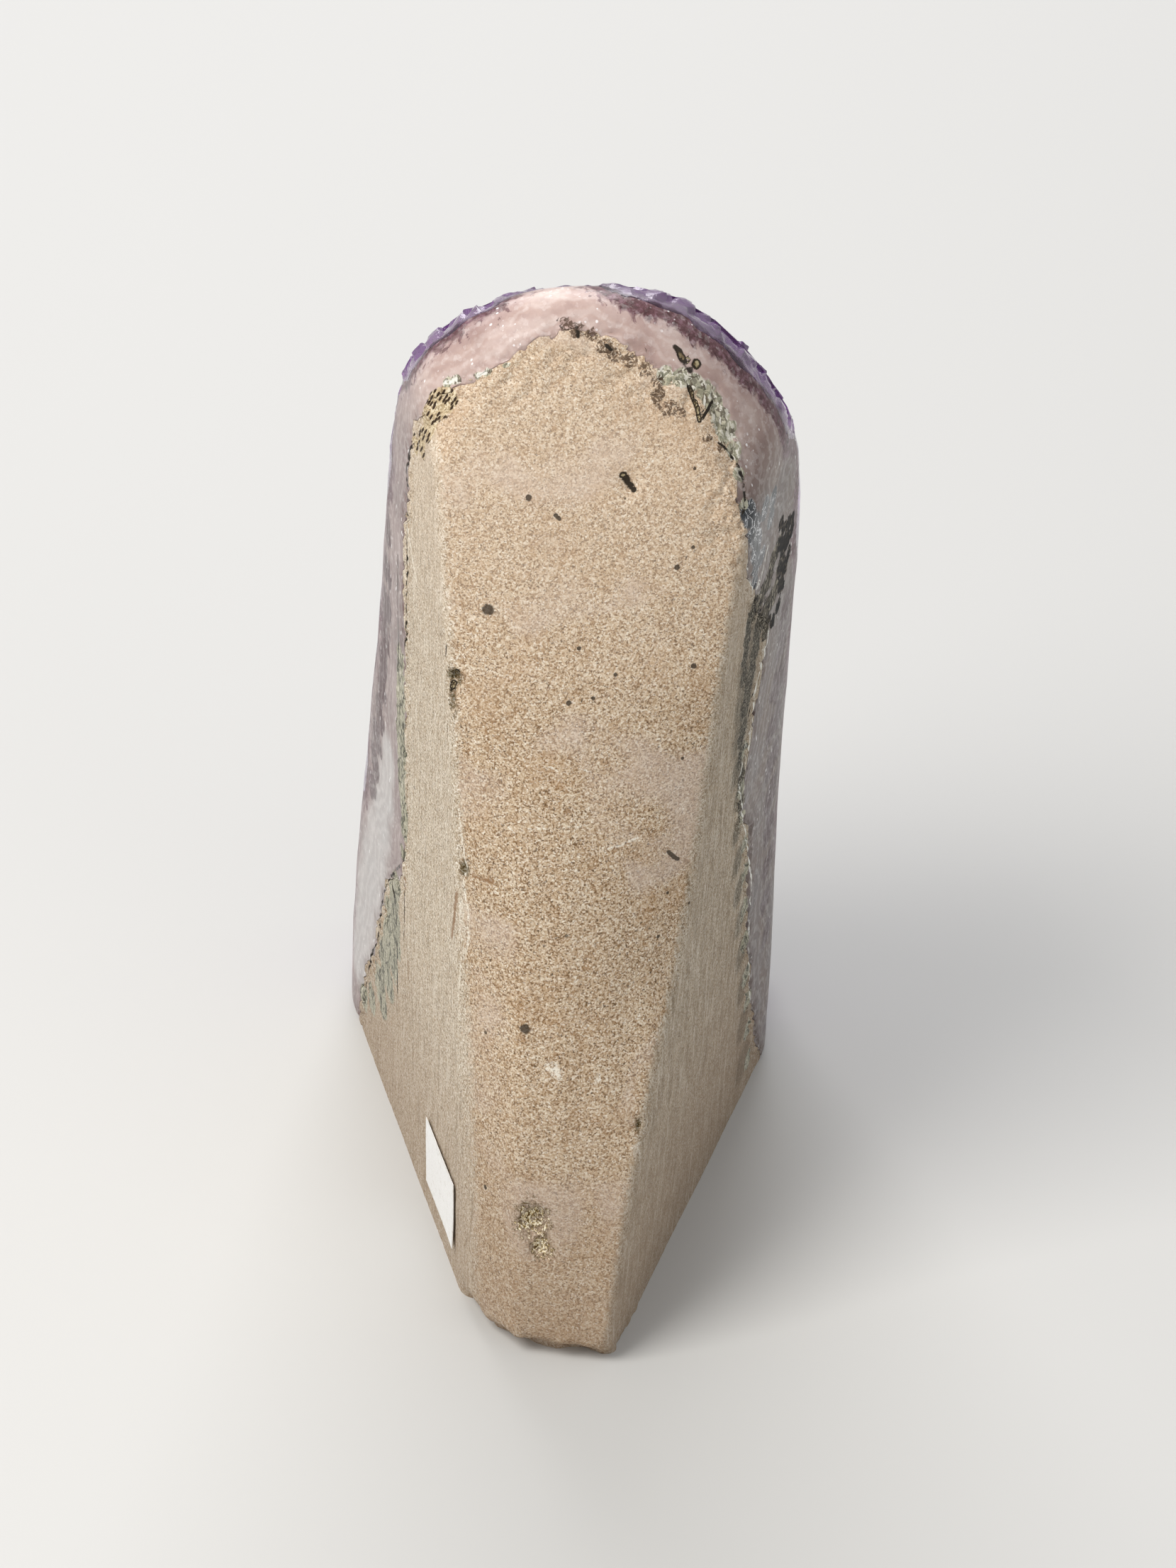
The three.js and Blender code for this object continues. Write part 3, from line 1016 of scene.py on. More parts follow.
@dataclass
class Label:
    """The small white number label on the left saw cut, left bare.

    Attributes:
        node: the frame's node of the label.
        lift_mm: how far the label's middle stands off the stone.
        curl_mm: how far its loose corner has lifted.
        thick_mm: the paper's thickness.
        columns: how many faces lie across the sheet.
        rows: how many lie along it.
    """

    node: bpy.types.Object
    lift_mm: float = 0.03
    curl_mm: float = 0.22
    thick_mm: float = 0.12
    columns: int = 28
    rows: int = 42

    def build(self) -> bpy.types.Object:
        """Makes the label as a thin sheet that lies on the cut.

        Returns:
            The closed sheet, with the UV map `label` that runs across it once.
        """
        corner, along, up, out = self._sheet()
        points: list[Vector] = []
        across = [i / self.columns for i in range(self.columns + 1)]
        tall = [j / self.rows for j in range(self.rows + 1)]
        for side in (0.0, 1.0):
            for v in tall:
                for u in across:
                    wave = 0.03 * math.sin(5.0 * u + 3.0 * v) + self.curl_mm * max(0.0, u + v - 1.55) ** 2 * 4
                    edge = 0.05 * noise.noise((u * 9, v * 13, side))
                    away = (self.lift_mm + wave + side * self.thick_mm) * MM
                    place = corner + along * u + up * v + out * away
                    if u in (0.0, 1.0):
                        place += along.normalized() * edge * MM
                    points.append(place)
        stride = self.columns + 1
        layer = stride * (self.rows + 1)
        faces = []
        for j in range(self.rows):
            for i in range(self.columns):
                a = j * stride + i
                low = (a, a + 1, a + stride + 1, a + stride)
                faces.append(tuple(reversed(low)))
                faces.append(tuple(v + layer for v in low))
        rim = [*range(self.columns), *(j * stride + self.columns for j in range(self.rows))]
        rim += [self.rows * stride + i for i in range(self.columns, 0, -1)]
        rim += [j * stride for j in range(self.rows, 0, -1)]
        for a, b in zip(rim, rim[1:] + rim[:1]):
            faces.append((a, b, b + layer, a + layer))
        item = mesh_object("number_label", points, faces)
        face_outward(item)
        layer_uv = item.data.uv_layers.new(name="label")
        for loop in item.data.loops:
            index = loop.vertex_index % layer
            layer_uv.data[loop.index].uv = (across[index % stride], tall[index // stride])
        return item

    def _sheet(self) -> tuple[Vector, Vector, Vector, Vector]:
        """Reads the label's corner, its two edges and its outward normal off the frame's node."""
        mesh = self.node.data
        largest = sorted(mesh.polygons, key=lambda p: -p.area)[:4]
        out = max(largest, key=lambda p: p.normal.x + p.normal.y).normal.copy()
        front = [p for p in mesh.polygons if p.normal.dot(out) > 0.99]
        corners = {tuple(round(c, 6) for c in mesh.vertices[v].co) for p in front for v in p.vertices}
        places = [Vector(c) for c in corners]
        low = sorted(places, key=lambda c: c.z)
        middle = sum(places, Vector()) / len(places)
        sides = [c - middle for c in low]
        foot = sides[0]
        others = sorted(sides[1:], key=lambda c: (c - foot).length)
        short, tall = others[0] - foot, others[1] - foot
        thickness = self._thickness(out)
        corner = middle + foot - out * thickness
        if short.cross(tall).dot(out) < 0:
            corner, short = corner + short, -short
        return corner, short, tall, out

    def _thickness(self, out: Vector) -> float:
        """The node's own thickness, in metres."""
        reach = [v.co.dot(out) for v in self.node.data.vertices]
        return max(reach) - min(reach)


# -------------------------------------------------------- marks on the surfaces


@dataclass(frozen=True)
class Stroke:
    """A mark on a surface along a path of places, or round a single place."""

    half_width: float
    path: tuple[Point, ...]

    def pieces(self, step_mm: float = 0.9, wander_mm: float = 0.28) -> list[np.ndarray]:
        """Cuts the path into short pieces that wander a little.

        Args:
            step_mm: the length of a piece.
            wander_mm: how far the path wanders.

        Returns:
            One array of two places for each piece, in millimetres.
        """
        if len(self.path) == 1:
            return [np.array([self.path[0], self.path[0]])]
        places = [np.array(self.path[0])]
        for start, end in zip(self.path, self.path[1:]):
            count = max(1, round(math.dist(start, end) / step_mm))
            places += [np.array(start) + (np.array(end) - start) * (i + 1) / count for i in range(count)]
        wobble = [np.array(noise.noise_vector(Vector(p) * 0.7)) * wander_mm for p in places]
        bent = [p + w for p, w in zip(places, wobble)]
        return [np.array(pair) for pair in zip(bent, bent[1:])]


def strokes(*rows: tuple) -> tuple[Stroke, ...]:
    """Makes strokes of rows that each hold a half width and the places along the path."""
    return tuple(Stroke(half_width, tuple(path)) for half_width, *path in rows)


def stroke_offsets(points: np.ndarray, marks: Sequence[Stroke]) -> np.ndarray:
    """The way from the nearest stroke to each point, in half widths of that stroke.

    The length of such an offset is below 1 on a stroke. Between the corners of a face it is exact, so a
    line stays sharp that is thinner than the faces it runs over.

    Args:
        points: one row per point, in metres.
        marks: the strokes.

    Returns:
        One row per point.
    """
    pieces = [(piece, stroke.half_width) for stroke in marks for piece in stroke.pieces()]
    starts = np.array([piece[0] for piece, _ in pieces])
    lines = np.array([piece[1] - piece[0] for piece, _ in pieces])
    widths = np.array([width for _, width in pieces])
    middles = starts + lines / 2
    lengths = np.maximum((lines**2).sum(1), 1e-9)
    found = []
    for block in np.array_split(points / MM, max(1, len(points) // 4000)):
        gaps = ((block[:, None] - middles) ** 2).sum(2)
        nearest = gaps.argmin(1)
        offset = block - starts[nearest]
        share = np.clip((offset * lines[nearest]).sum(1) / lengths[nearest], 0, 1)
        offset -= lines[nearest] * share[:, None]
        found.append(offset / widths[nearest][:, None])
    return np.concatenate(found)


@dataclass(frozen=True)
class Zone:
    """A patch of one mineral: its name, and the balls, each a radius and a middle, that it fills."""

    name: str
    balls: tuple[tuple[float, float, float, float], ...]

    def at(self, points: np.ndarray) -> np.ndarray:
        """How deep in the zone each point lies: 1 inside, 0.5 on the edge of a ball, 0 outside."""
        value = np.zeros(len(points))
        for radius, *middle in self.balls:
            reach = np.linalg.norm(points / MM - middle, axis=1) / radius
            value = np.maximum(value, np.clip(1.5 - reach, 0, 1))
        return value


ZONES = (
    Zone("breccia", (
        (2.5, 27.1, -3.6, 93.5), (2.8, 27.0, -3.3, 89.5), (2.9, 27.0, -3.2, 86.1), (2.9, 27.0, -3.1, 82.7),
        (2.9, 26.9, -3.0, 79.3), (2.8, 26.8, -2.4, 76.2), (2.6, 26.8, -2.3, 72.8), (2.5, 26.6, -1.7, 69.7),
        (2.2, 26.3, -0.6, 66.3), (2.1, 26.1, 0.0, 62.5), (1.5, 26.4, -1.0, 57.0), (2.6, 27.5, -4.9, 47.4),
        (3.4, 27.9, -6.8, 43.1), (4.2, 28.5, -8.9, 37.0), (2.8, 27.4, -4.7, 40.3), (4.2, 28.9, -10.4, 31.6),
        (3.0, 27.4, -4.6, 36.1), (4.4, 29.5, -12.8, 25.4), (3.2, 27.8, -6.4, 30.3),
        (3.8, 30.4, -16.1, 18.4), (3.2, 28.6, -9.2, 23.8), (2.8, 31.9, -21.6, 11.3),
        (3.0, 29.9, -14.0, 16.4), (2.6, 33.4, -27.2, 7.3), (1.7, -28.0, 8.4, 86.0), (1.7, -27.6, 8.5, 78.0),
        (1.6, -28.0, 5.6, 70.5), (2.0, -28.7, 2.3, 62.9), (2.2, -29.0, -0.4, 54.9),
        (2.2, -29.0, -1.8, 46.5), (2.0, -29.3, -4.7, 38.0), (2.1, -29.8, -7.2, 29.0),
        (2.1, -30.4, -10.2, 21.5), (2.0, -30.8, -12.4, 14.0), (2.0, -31.2, -14.5, 6.0),
    )),
    Zone("vesicles", (
        (2.6, 23.6, 8.6, 143.0), (2.9, 23.0, 10.4, 147.5), (2.6, 21.6, 10.6, 151.2),
        (2.2, 20.3, 11.0, 152.8), (1.8, 24.8, 4.6, 140.2),
    )),
    Zone("crust", (
        (1.5, -13.6, 11.5, 158.5), (1.6, -15.9, 11.2, 158.0), (1.5, -17.8, 10.5, 156.9),
        (1.6, -19.8, 10.5, 155.1), (1.7, -21.0, 11.2, 153.5), (1.9, -22.1, 11.8, 151.0),
        (2.0, -23.2, 12.2, 149.0), (1.6, -24.4, 13.3, 146.2), (1.3, -25.2, 15.0, 143.0),
        (1.0, -26.0, 17.0, 138.8), (1.0, 20.1, 9.5, 155.0), (0.9, 18.8, 10.0, 155.8),
        (0.7, 15.5, 10.9, 157.2), (0.7, 13.8, 11.2, 158.1), (0.6, 11.0, 11.3, 159.4),
    )),
    Zone("flakes", (
        (1.2, 2.0, 8.4, 165.4), (1.3, 0.2, 9.0, 164.8), (1.1, -2.0, 9.3, 164.2), (1.4, -4.2, 10.1, 162.6),
        (1.3, -5.6, 10.6, 161.3), (1.2, -8.0, 10.9, 160.6), (1.1, -10.5, 11.4, 159.2),
        (1.0, -12.4, 12.0, 157.8), (1.3, -12.4, 13.0, 155.6), (1.5, -14.0, 13.6, 154.1),
        (1.0, -15.9, 13.8, 153.3), (0.9, -20.4, 14.9, 149.5), (0.9, -22.4, 14.3, 147.6),
    )),
    Zone("wedge", (
        (2.4, -27.2, 17.2, 137.0), (2.8, -28.0, 15.8, 133.2), (2.9, -28.3, 14.3, 129.2),
        (2.3, -28.4, 13.2, 125.2), (1.5, -28.3, 13.2, 121.6), (2.2, -29.6, 11.0, 134.0),
        (1.9, -30.6, 7.0, 129.5), (1.8, -29.6, 10.4, 124.8), (2.0, -30.8, 6.6, 133.0),
    )),
    Zone("black", (
        (1.4, -32.5, 0.2, 124.0), (1.6, -32.9, -2.2, 121.5), (1.6, -33.7, -4.8, 120.4),
        (1.1, -34.3, -7.1, 120.2), (1.4, -34.2, -7.1, 117.5), (1.8, -33.6, -5.1, 116.9),
        (1.5, -32.4, -0.6, 119.4), (1.4, -33.9, -6.7, 113.7), (1.5, -33.5, -5.6, 111.8),
        (1.2, -33.2, -5.0, 108.5), (1.5, -32.5, -3.4, 105.6), (1.4, -31.7, -0.9, 104.6),
        (2.6, -33.2, -3.6, 117.4), (2.2, -33.1, -3.0, 113.6), (2.0, -33.2, -3.8, 109.8),
    )),
    Zone("shadowed", (
        (6.0, -28.6, 9.6, 113.0), (6.0, -28.0, 11.4, 106.0), (5.5, -27.6, 11.9, 99.0),
        (4.5, -27.2, 12.0, 92.0), (4.0, -26.9, 11.5, 85.0), (3.2, -27.2, 9.0, 78.0),
        (3.0, -27.4, 8.0, 70.0), (3.0, -27.8, 5.5, 62.0), (3.0, -28.2, 3.0, 54.0), (3.2, -28.6, 0.0, 46.0),
        (3.4, -29.0, -3.0, 37.0), (3.6, -29.4, -6.0, 28.0), (3.8, -30.0, -9.0, 18.0),
        (4.0, -30.4, -11.0, 8.0),
    )),
    Zone("cloud", (
        (4.5, 29.2, -11.0, 68.0), (5.5, 29.6, -12.5, 61.0), (6.5, 30.4, -15.5, 53.0),
        (7.0, 31.2, -18.5, 45.0), (7.5, 32.0, -22.0, 37.0), (7.0, 33.0, -25.8, 29.0),
        (6.5, 33.8, -28.8, 21.0), (5.5, 34.4, -31.0, 13.0),
    )),
    Zone("rock", (
        (2.2, -32.1, 0.3, 119.8), (2.4, -31.2, 3.0, 118.9), (2.3, -32.5, -2.1, 114.1),
        (2.6, -30.6, 4.6, 116.6), (2.4, -31.9, -0.7, 110.6), (2.8, -29.5, 8.1, 115.6),
        (2.6, -31.1, 2.1, 110.2), (2.6, -28.4, 11.7, 115.4), (2.8, -30.2, 5.1, 110.2),
        (1.6, -27.6, 14.4, 114.6), (3.0, -29.3, 7.8, 109.3), (2.2, -27.4, 14.0, 111.7),
        (2.4, -30.6, 2.6, 105.5), (3.0, -29.0, 8.5, 105.4), (2.0, -27.2, 14.2, 108.0),
        (3.0, -28.3, 9.9, 101.0), (2.0, -27.0, 13.8, 104.0), (2.8, -27.7, 11.0, 96.5),
        (2.6, -27.4, 11.0, 91.0), (2.3, -27.3, 10.4, 86.0), (2.0, -27.5, 9.2, 81.0),
        (1.8, -27.8, 7.8, 75.0),
    )),
    Zone("maroon", (
        (3.4, 30.0, -13.8, 97.0), (3.8, 30.2, -14.4, 91.0), (3.8, 30.4, -15.0, 85.0),
        (3.6, 30.7, -16.0, 79.0), (3.4, 31.1, -17.4, 73.0), (3.4, 31.5, -19.0, 67.0),
        (3.0, 31.9, -20.6, 61.0), (2.8, 32.3, -22.2, 55.0), (3.0, 29.8, -13.4, 104.0),
        (2.8, 29.7, -13.0, 112.0), (2.6, 29.6, -12.6, 120.0), (3.2, -34.0, -8.2, 102.0),
        (3.4, -33.6, -8.4, 95.0), (3.6, -33.2, -8.2, 87.0), (3.6, -33.0, -8.6, 79.0),
        (3.5, -32.9, -10.2, 71.0), (3.4, -32.8, -11.6, 63.0), (3.3, -32.7, -12.8, 55.0),
        (3.2, -32.7, -14.2, 47.0), (3.0, -32.8, -16.0, 39.0), (2.8, -32.9, -18.0, 30.0),
    )),
)

DARK_LINES = strokes(
    (0.34, (25.4, 2.6, 138.9), (25.9, 0.8, 136.0), (26.3, -0.6, 131.7), (26.2, -0.6, 124.4)),
    (0.30, (26.2, -0.6, 124.4), (26.1, 0.0, 111.0), (26.2, -0.1, 104.9), (26.3, -0.6, 98.0)),
    (0.28, (27.6, -5.4, 112.5), (27.6, -5.4, 105.5), (27.5, -5.3, 100.8),
     (27.4, -4.6, 96.1), (27.5, -5.1, 91.0)),
    (0.25, (26.7, -2.3, 53.7), (28.8, -10.2, 44.8), (29.9, -14.1, 39.0), (30.9, -18.0, 26.0)),
    (0.28, (30.9, -18.0, 26.0), (32.0, -22.2, 20.3), (33.2, -26.7, 9.0)),
    (0.20, (26.1, 0.0, 51.6), (26.0, 0.4, 44.5), (26.2, -0.1, 39.7)),
    (0.24, (28.3, -8.2, 45.3), (27.6, -5.6, 42.9), (27.4, -4.6, 38.2), (27.1, -3.8, 26.4)),
    (0.30, (30.2, -15.2, 17.6), (30.2, -15.1, 14.6)),
    (0.35, (-24.8, 14.4, 144.3), (-25.8, 14.9, 142.3), (-26.3, 16.6, 139.7), (-26.1, 18.3, 137.8)),
    (0.22, (-20.4, 14.9, 149.5), (-22.6, 14.1, 147.5), (-24.6, 13.9, 144.8)),
    (0.28, (-17.3, 11.6, 156.3), (-18.3, 12.6, 154.1), (-19.0, 13.9, 151.7), (-20.9, 11.0, 153.7)),
    (0.26, (3.5, 7.8, 165.8), (2.3, 7.1, 166.5), (-0.3, 7.1, 166.7)),
    (0.30, (-29.6, 3.2, 100.2), (-28.6, 6.2, 93.7), (-28.0, 7.6, 88.3), (-27.3, 9.6, 84.0)),
    (0.26, (-26.6, 10.8, 81.2), (-27.2, 8.2, 74.0), (-27.7, 5.4, 68.0)),
    (0.55, (-15.0, 8.9, 162.1), (-16.1, 9.5, 160.4), (-17.3, 10.0, 158.8)),
    (0.34, (2.9, 8.2, 165.4), (2.2, 9.0, 164.7)), (0.34, (0.5, 8.4, 165.4), (0.0, 9.4, 164.0)),
    (0.30, (-3.0, 9.4, 163.8), (-4.3, 10.0, 162.7), (-5.7, 10.4, 161.7)),
)

PALE_LINES = strokes(
    (0.30, (-31.2, 0.7, 105.1), (-30.7, 1.6, 100.2), (-29.4, 5.4, 96.5), (-29.1, 5.7, 92.1)),
    (0.24, (-29.1, 5.7, 92.1), (-28.7, 6.1, 86.9), (-28.4, 6.1, 81.3)),
    (0.26, (-30.3, 7.2, 124.4), (-29.6, 9.0, 121.6), (-29.2, 9.9, 119.6),
     (-28.5, 12.0, 119.1), (-27.8, 14.6, 119.0)),
    (0.22, (-28.5, 6.9, 88.3), (-27.1, 10.5, 81.2), (-28.0, 5.4, 70.9), (-29.3, 0.0, 60.1)),
    (0.22, (-29.3, 0.0, 60.1), (-30.0, -4.4, 51.3), (-29.9, -7.0, 35.6), (-30.9, -12.0, 20.0)),
    (0.20, (-26.6, 19.6, 132.0), (-27.3, 17.2, 125.1), (-28.3, 12.8, 119.2), (-29.4, 9.8, 121.6)),
    (0.45, (20.6, 9.3, 154.8), (18.8, 9.9, 155.7)), (0.38, (15.5, 10.9, 157.2), (13.8, 11.2, 158.1)),
)

DARK_SPOTS = strokes(
    (0.50, (7.0, 20.1, 141.1)), (0.36, (2.8, 21.2, 138.6)), (0.32, (2.2, 21.4, 138.2)),
    (0.30, (-18.5, 21.5, 133.6)), (0.48, (-16.1, 22.8, 130.7)), (0.46, (-19.1, 27.0, 115.1)),
    (0.28, (-17.8, 30.4, 99.9)), (0.34, (-16.0, 34.1, 84.5), (-17.6, 33.5, 82.6)),
    (0.30, (-19.7, 33.1, 73.8)), (0.26, (-16.1, 35.2, 77.3)), (0.32, (-14.8, 37.3, 70.3)),
    (0.26, (-18.4, 17.2, 145.3)), (0.34, (-1.3, 28.6, 119.0)), (0.42, (0.1, 31.7, 110.8)),
    (0.34, (-3.7, 31.2, 111.5)), (0.30, (-7.0, 29.7, 115.0)), (0.95, (12.9, 25.8, 123.9)),
    (0.85, (5.7, 46.2, 58.1)), (0.40, (11.6, 47.3, 27.0)), (0.40, (10.8, 50.1, 14.7)),
    (0.26, (19.4, 25.6, 118.2), (19.4, 25.4, 114.7)),
)

RUSTY_STAINS = strokes(
    (0.55, (17.1, 33.8, 75.1), (17.3, 33.2, 69.9), (17.7, 31.8, 65.0)),
    (0.40, (14.4, 36.0, 80.3), (11.5, 38.0, 80.9)), (0.26, (25.3, 3.3, 38.4), (25.2, 3.4, 35.0)),
    (0.70, (26.0, 0.4, 52.6), (26.0, 0.4, 51.6)),
)

SCRATCHES = strokes(
    (0.16, (2.9, 34.8, 100.8), (1.6, 35.0, 100.2)), (0.20, (-3.5, 34.6, 99.9), (-2.2, 34.8, 100.4)),
    (0.16, (5.9, 37.7, 90.8), (1.0, 37.5, 91.0), (-3.7, 37.0, 91.6)),
    (0.20, (-5.4, 37.9, 87.3), (-8.6, 36.9, 87.6), (-11.2, 35.8, 88.3)),
    (0.16, (-7.0, 36.6, 89.0), (-11.8, 34.6, 91.2)), (0.18, (9.0, 36.7, 90.6), (7.8, 37.3, 89.6)),
    (0.16, (-17.8, 31.7, 91.8), (-18.4, 31.9, 90.4)),
    (0.40, (26.4, -1.0, 121.5), (25.6, 2.2, 118.6), (24.4, 6.8, 115.0)),
    (0.20, (17.0, 29.8, 110.5), (16.2, 31.8, 107.5)), (0.16, (-10.9, 17.8, 145.3), (-12.2, 17.0, 146.9)),
    (0.95, (1.6, 48.2, 52.0), (0.4, 48.3, 51.0)), (0.70, (-5.8, 47.6, 49.7)), (0.45, (-17.8, 31.9, 91.3)),
    (0.42, (26.0, 0.4, 52.4), (26.0, 0.4, 51.8)),
    (0.22, (17.0, 32.0, 90.8), (16.3, 33.5, 86.0), (15.6, 34.5, 82.2), (15.8, 35.1, 77.4)),
    (0.26, (15.8, 35.1, 77.4), (15.0, 36.4, 73.0), (15.2, 37.2, 66.1)),
    (0.18, (16.3, 34.6, 74.0), (16.0, 35.6, 66.0), (16.2, 36.4, 56.0)),
)

CAVITIES = strokes(
    (0.60, (-7.4, 18.3, 144.4)), (0.72, (-7.8, 18.5, 143.9)), (0.76, (-8.2, 18.7, 143.4)),
    (0.72, (-8.6, 18.9, 142.9)), (0.60, (-9.0, 19.1, 142.4)),
    (0.62, (-14.9, 8.8, 162.3), (-16.0, 9.4, 160.6)), (0.80, (-18.3, 9.0, 159.1)),
    (0.50, (17.5, 27.7, 113.4), (18.2, 27.0, 110.4), (18.4, 28.4, 107.6)),
    (0.42, (-17.2, 11.4, 156.4), (-18.4, 12.8, 153.9), (-19.0, 13.8, 151.9)),
)

CONTACT_STROKES = {"dark_lines": DARK_LINES, "pale_lines": PALE_LINES, "cavities": CAVITIES}
BACK_STROKES = {"dark_spots": DARK_SPOTS, "rusty_stains": RUSTY_STAINS, "scratches": SCRATCHES}


# ----------------------------------------------------------------- the finishes


def new_group(name: str, inputs: dict[str, str], outputs: dict[str, str]) -> bpy.types.NodeTree:
    """Makes an empty shader node group.

    Args:
        name: the group's name.
        inputs: the socket kind of each input, by its name.
        outputs: the socket kind of each output, by its name.

    Returns:
        The group, with its sockets and no nodes.
    """
    tree = bpy.data.node_groups.new(name, "ShaderNodeTree")
    for sockets, way in ((inputs, "INPUT"), (outputs, "OUTPUT")):
        for label, kind in sockets.items():
            tree.interface.new_socket(label, in_out=way, socket_type=f"NodeSocket{kind}")
    return tree


def new_material(name: str) -> tuple[bpy.types.Material, Graph, bpy.types.Node]:
    """Makes a material with one shader.

    Args:
        name: the material's name.

    Returns:
        The material, the graph of its tree and its Principled BSDF.
    """
    material = bpy.data.materials.new(name)
    material.use_nodes = True
    tree = material.node_tree
    return material, Graph(tree), tree.nodes["Principled BSDF"]


def bump_into(graph: Graph, shader: bpy.types.Node, height, depth_mm: float) -> None:
    """Feeds a height between 0 and 1 to a shader as a bump of a given depth."""
    bump = graph.add("ShaderNodeBump", {"Strength": 1.0, "Distance": depth_mm * MM, "Height": height})
    graph.feed(shader, {"Normal": bump.outputs["Normal"]})


@dataclass(frozen=True)
class StoneGrain:
    """Tiny mineral grains, each with a value of its own."""

    def group(self) -> bpy.types.NodeTree:
        """Builds the group: a place and a grain size in, a value per grain and a height out."""
        tree = new_group(
            "stone_grain",
            {"Place": "Vector", "Grains per mm": "Float"},
            {"Tone": "Float", "Height": "Float"},
        )
        graph = Graph(tree)
        given = graph.add("NodeGroupInput").outputs
        bent = graph.warped(given["Place"], 1.4, 0.5)
        cell = graph.add("ShaderNodeTexVoronoi", {"Vector": bent, "Scale": given["Grains per mm"]})
        own = graph.one_channel(cell.outputs["Color"])
        coarse = graph.times_plus(graph.noise(given["Place"], 2.6, 2.0, 0.6), 0.5, -0.12)
        tone_value = graph.math("MULTIPLY_ADD", own, 0.76, coarse, clamp=True)
        height = graph.times_plus(cell.outputs["Distance"], -0.6, 0.6)
        height = graph.times_plus(own, 0.4, height)
        graph.add("NodeGroupOutput", {"Tone": tone_value, "Height": height})
        return tree


@dataclass(frozen=True)
class ContactMinerals:
    """The minerals along the contact of basalt and agate, painted over either of them."""

    def group(self) -> bpy.types.NodeTree:
        """Builds the group: a colour, a roughness and a grain in, both and a height out."""
        tree = new_group(
            "contact_minerals",
            {"Colour": "Color", "Roughness": "Float", "Grain": "Float"},
            {"Colour": "Color", "Roughness": "Float", "Height": "Float"},
        )
        graph = Graph(tree)
        given = graph.add("NodeGroupInput").outputs
        place = graph.object_mm()
        fray = graph.minus(graph.noise(place, 0.8, 4.0, 0.65), 0.5)
        colour, grain = given["Colour"], given["Grain"]

        rock = self._mask(graph, "rock", fray, 1.4)
        rock_tone = graph.ramp(grain, (0.15, "1A1813"), (0.45, "3F3A30"), (0.72, "696254"), (1.0, "C0B8A6"))
        colour = graph.mix(graph.times(rock, 0.93), colour, rock_tone)
        black = self._mask(graph, "black", fray, 2.0)
        black_tone = graph.ramp(grain, (0.3, "0D0B09"), (0.7, "1E1814"), (0.88, "5A5045"), (1.0, "9A8F80"))
        colour = graph.mix(black, colour, black_tone)
        wedge = self._mask(graph, "wedge", fray, 0.7)
        colour = graph.mix(wedge, colour, self._wedge_tone(graph, place))
        rough = self._mixed(graph, graph.larger(rock, black), given["Roughness"], 0.75)
        rough = self._mixed(graph, wedge, rough, 0.25)
        breccia = self._mask(graph, "breccia", fray, 1.1)
        bent = graph.warped(graph.scaled(place, (1.0, 1.0, 0.45)), 0.6, 3.2, 4.0)
        veins = self._veins(graph, bent)
        shards = graph.ramp(grain, (0.1, "8A8772"), (0.4, "ABA792"), (0.75, "BFBAA6"), (1.0, "DAD5C6"))
        colour = graph.mix(breccia, colour, graph.mix(graph.times(veins, 0.85), shards, "45443A"))
        rough = self._mixed(graph, breccia, rough, 0.55)
        vesicles = self._mask(graph, "vesicles", fray, 0.8)
        dashes = self._dashes(graph, place)
        cream = graph.ramp(grain, (0.15, "8F7A5C"), (0.55, "C9B491"), (0.95, "E8DCC2"))
        colour = graph.mix(vesicles, colour, graph.mix(dashes, cream, "3A2A1C"))
        crust = self._mask(graph, "crust", fray, 1.3)
        shard = graph.one_channel(graph.cells(bent, 2.2).outputs["Color"], 1)
        crust_tone = graph.ramp(shard, (0.0, "5B5344"), (0.3, "94947F"), (0.6, "BDB89F"), (0.92, "E4E1D5"))
        colour = graph.mix(graph.times(crust, 0.9), colour, crust_tone)
        torn = graph.between(graph.noise(place, 1.2, 5.0, 0.7, 1.2), 0.43, 0.52)
        flakes = graph.times(self._mask(graph, "flakes", fray, 1.6), torn)
        colour = graph.mix(graph.times(flakes, 0.85), colour, "4A3524")
        thin = graph.noise(place, 0.6, 3.0)
        lines = graph.plus(graph.reach("dark_lines"), graph.times(fray, 1.6))
        lines = graph.times(graph.between(lines, 1.2, 0.7), graph.between(thin, 0.36, 0.46))
        colour = graph.mix(lines, colour, "2B241B")
        pale = graph.plus(graph.reach("pale_lines"), graph.times(fray, 1.6))
        pale = graph.times(graph.between(pale, 1.2, 0.7), graph.between(thin, 0.62, 0.52))
        colour = graph.mix(pale, colour, "E9E7DE")
        colour = self._cavities(graph, fray, grain, colour)
        height = graph.between(graph.reach("dark_lines"), 0.7, 1.3)
        height = graph.smaller(height, graph.between(graph.reach("cavities"), 0.5, 1.3))
        graph.add("NodeGroupOutput", {"Colour": colour, "Roughness": rough, "Height": height})
        return tree

    @staticmethod
    def _mask(graph: Graph, zone: str, fray, amount: float):
        """A zone's mask with a frayed edge."""
        value = graph.times_plus(fray, amount, graph.attribute(zone))
        return graph.between(value, 0.42, 0.58)

    @staticmethod
    def _mixed(graph: Graph, mask, value, target: float):
        """A value moved to a target where a mask is white."""
        return graph.times_plus(graph.minus(target, value), mask, value)

    @staticmethod
    def _cavities(graph: Graph, fray, grain, colour):
        """Small open cavities with a dark rim and a paler floor."""
        reach = graph.times_plus(fray, 0.9, graph.reach("cavities"))
        floor = graph.ramp(grain, (0.25, "2E251A"), (0.55, "6D5C40"), (0.85, "C9BA95"))
        colour = graph.tint(colour, "2F261B", reach, 1.2, 0.95)
        return graph.mix(graph.between(reach, 0.75, 0.5), colour, floor)

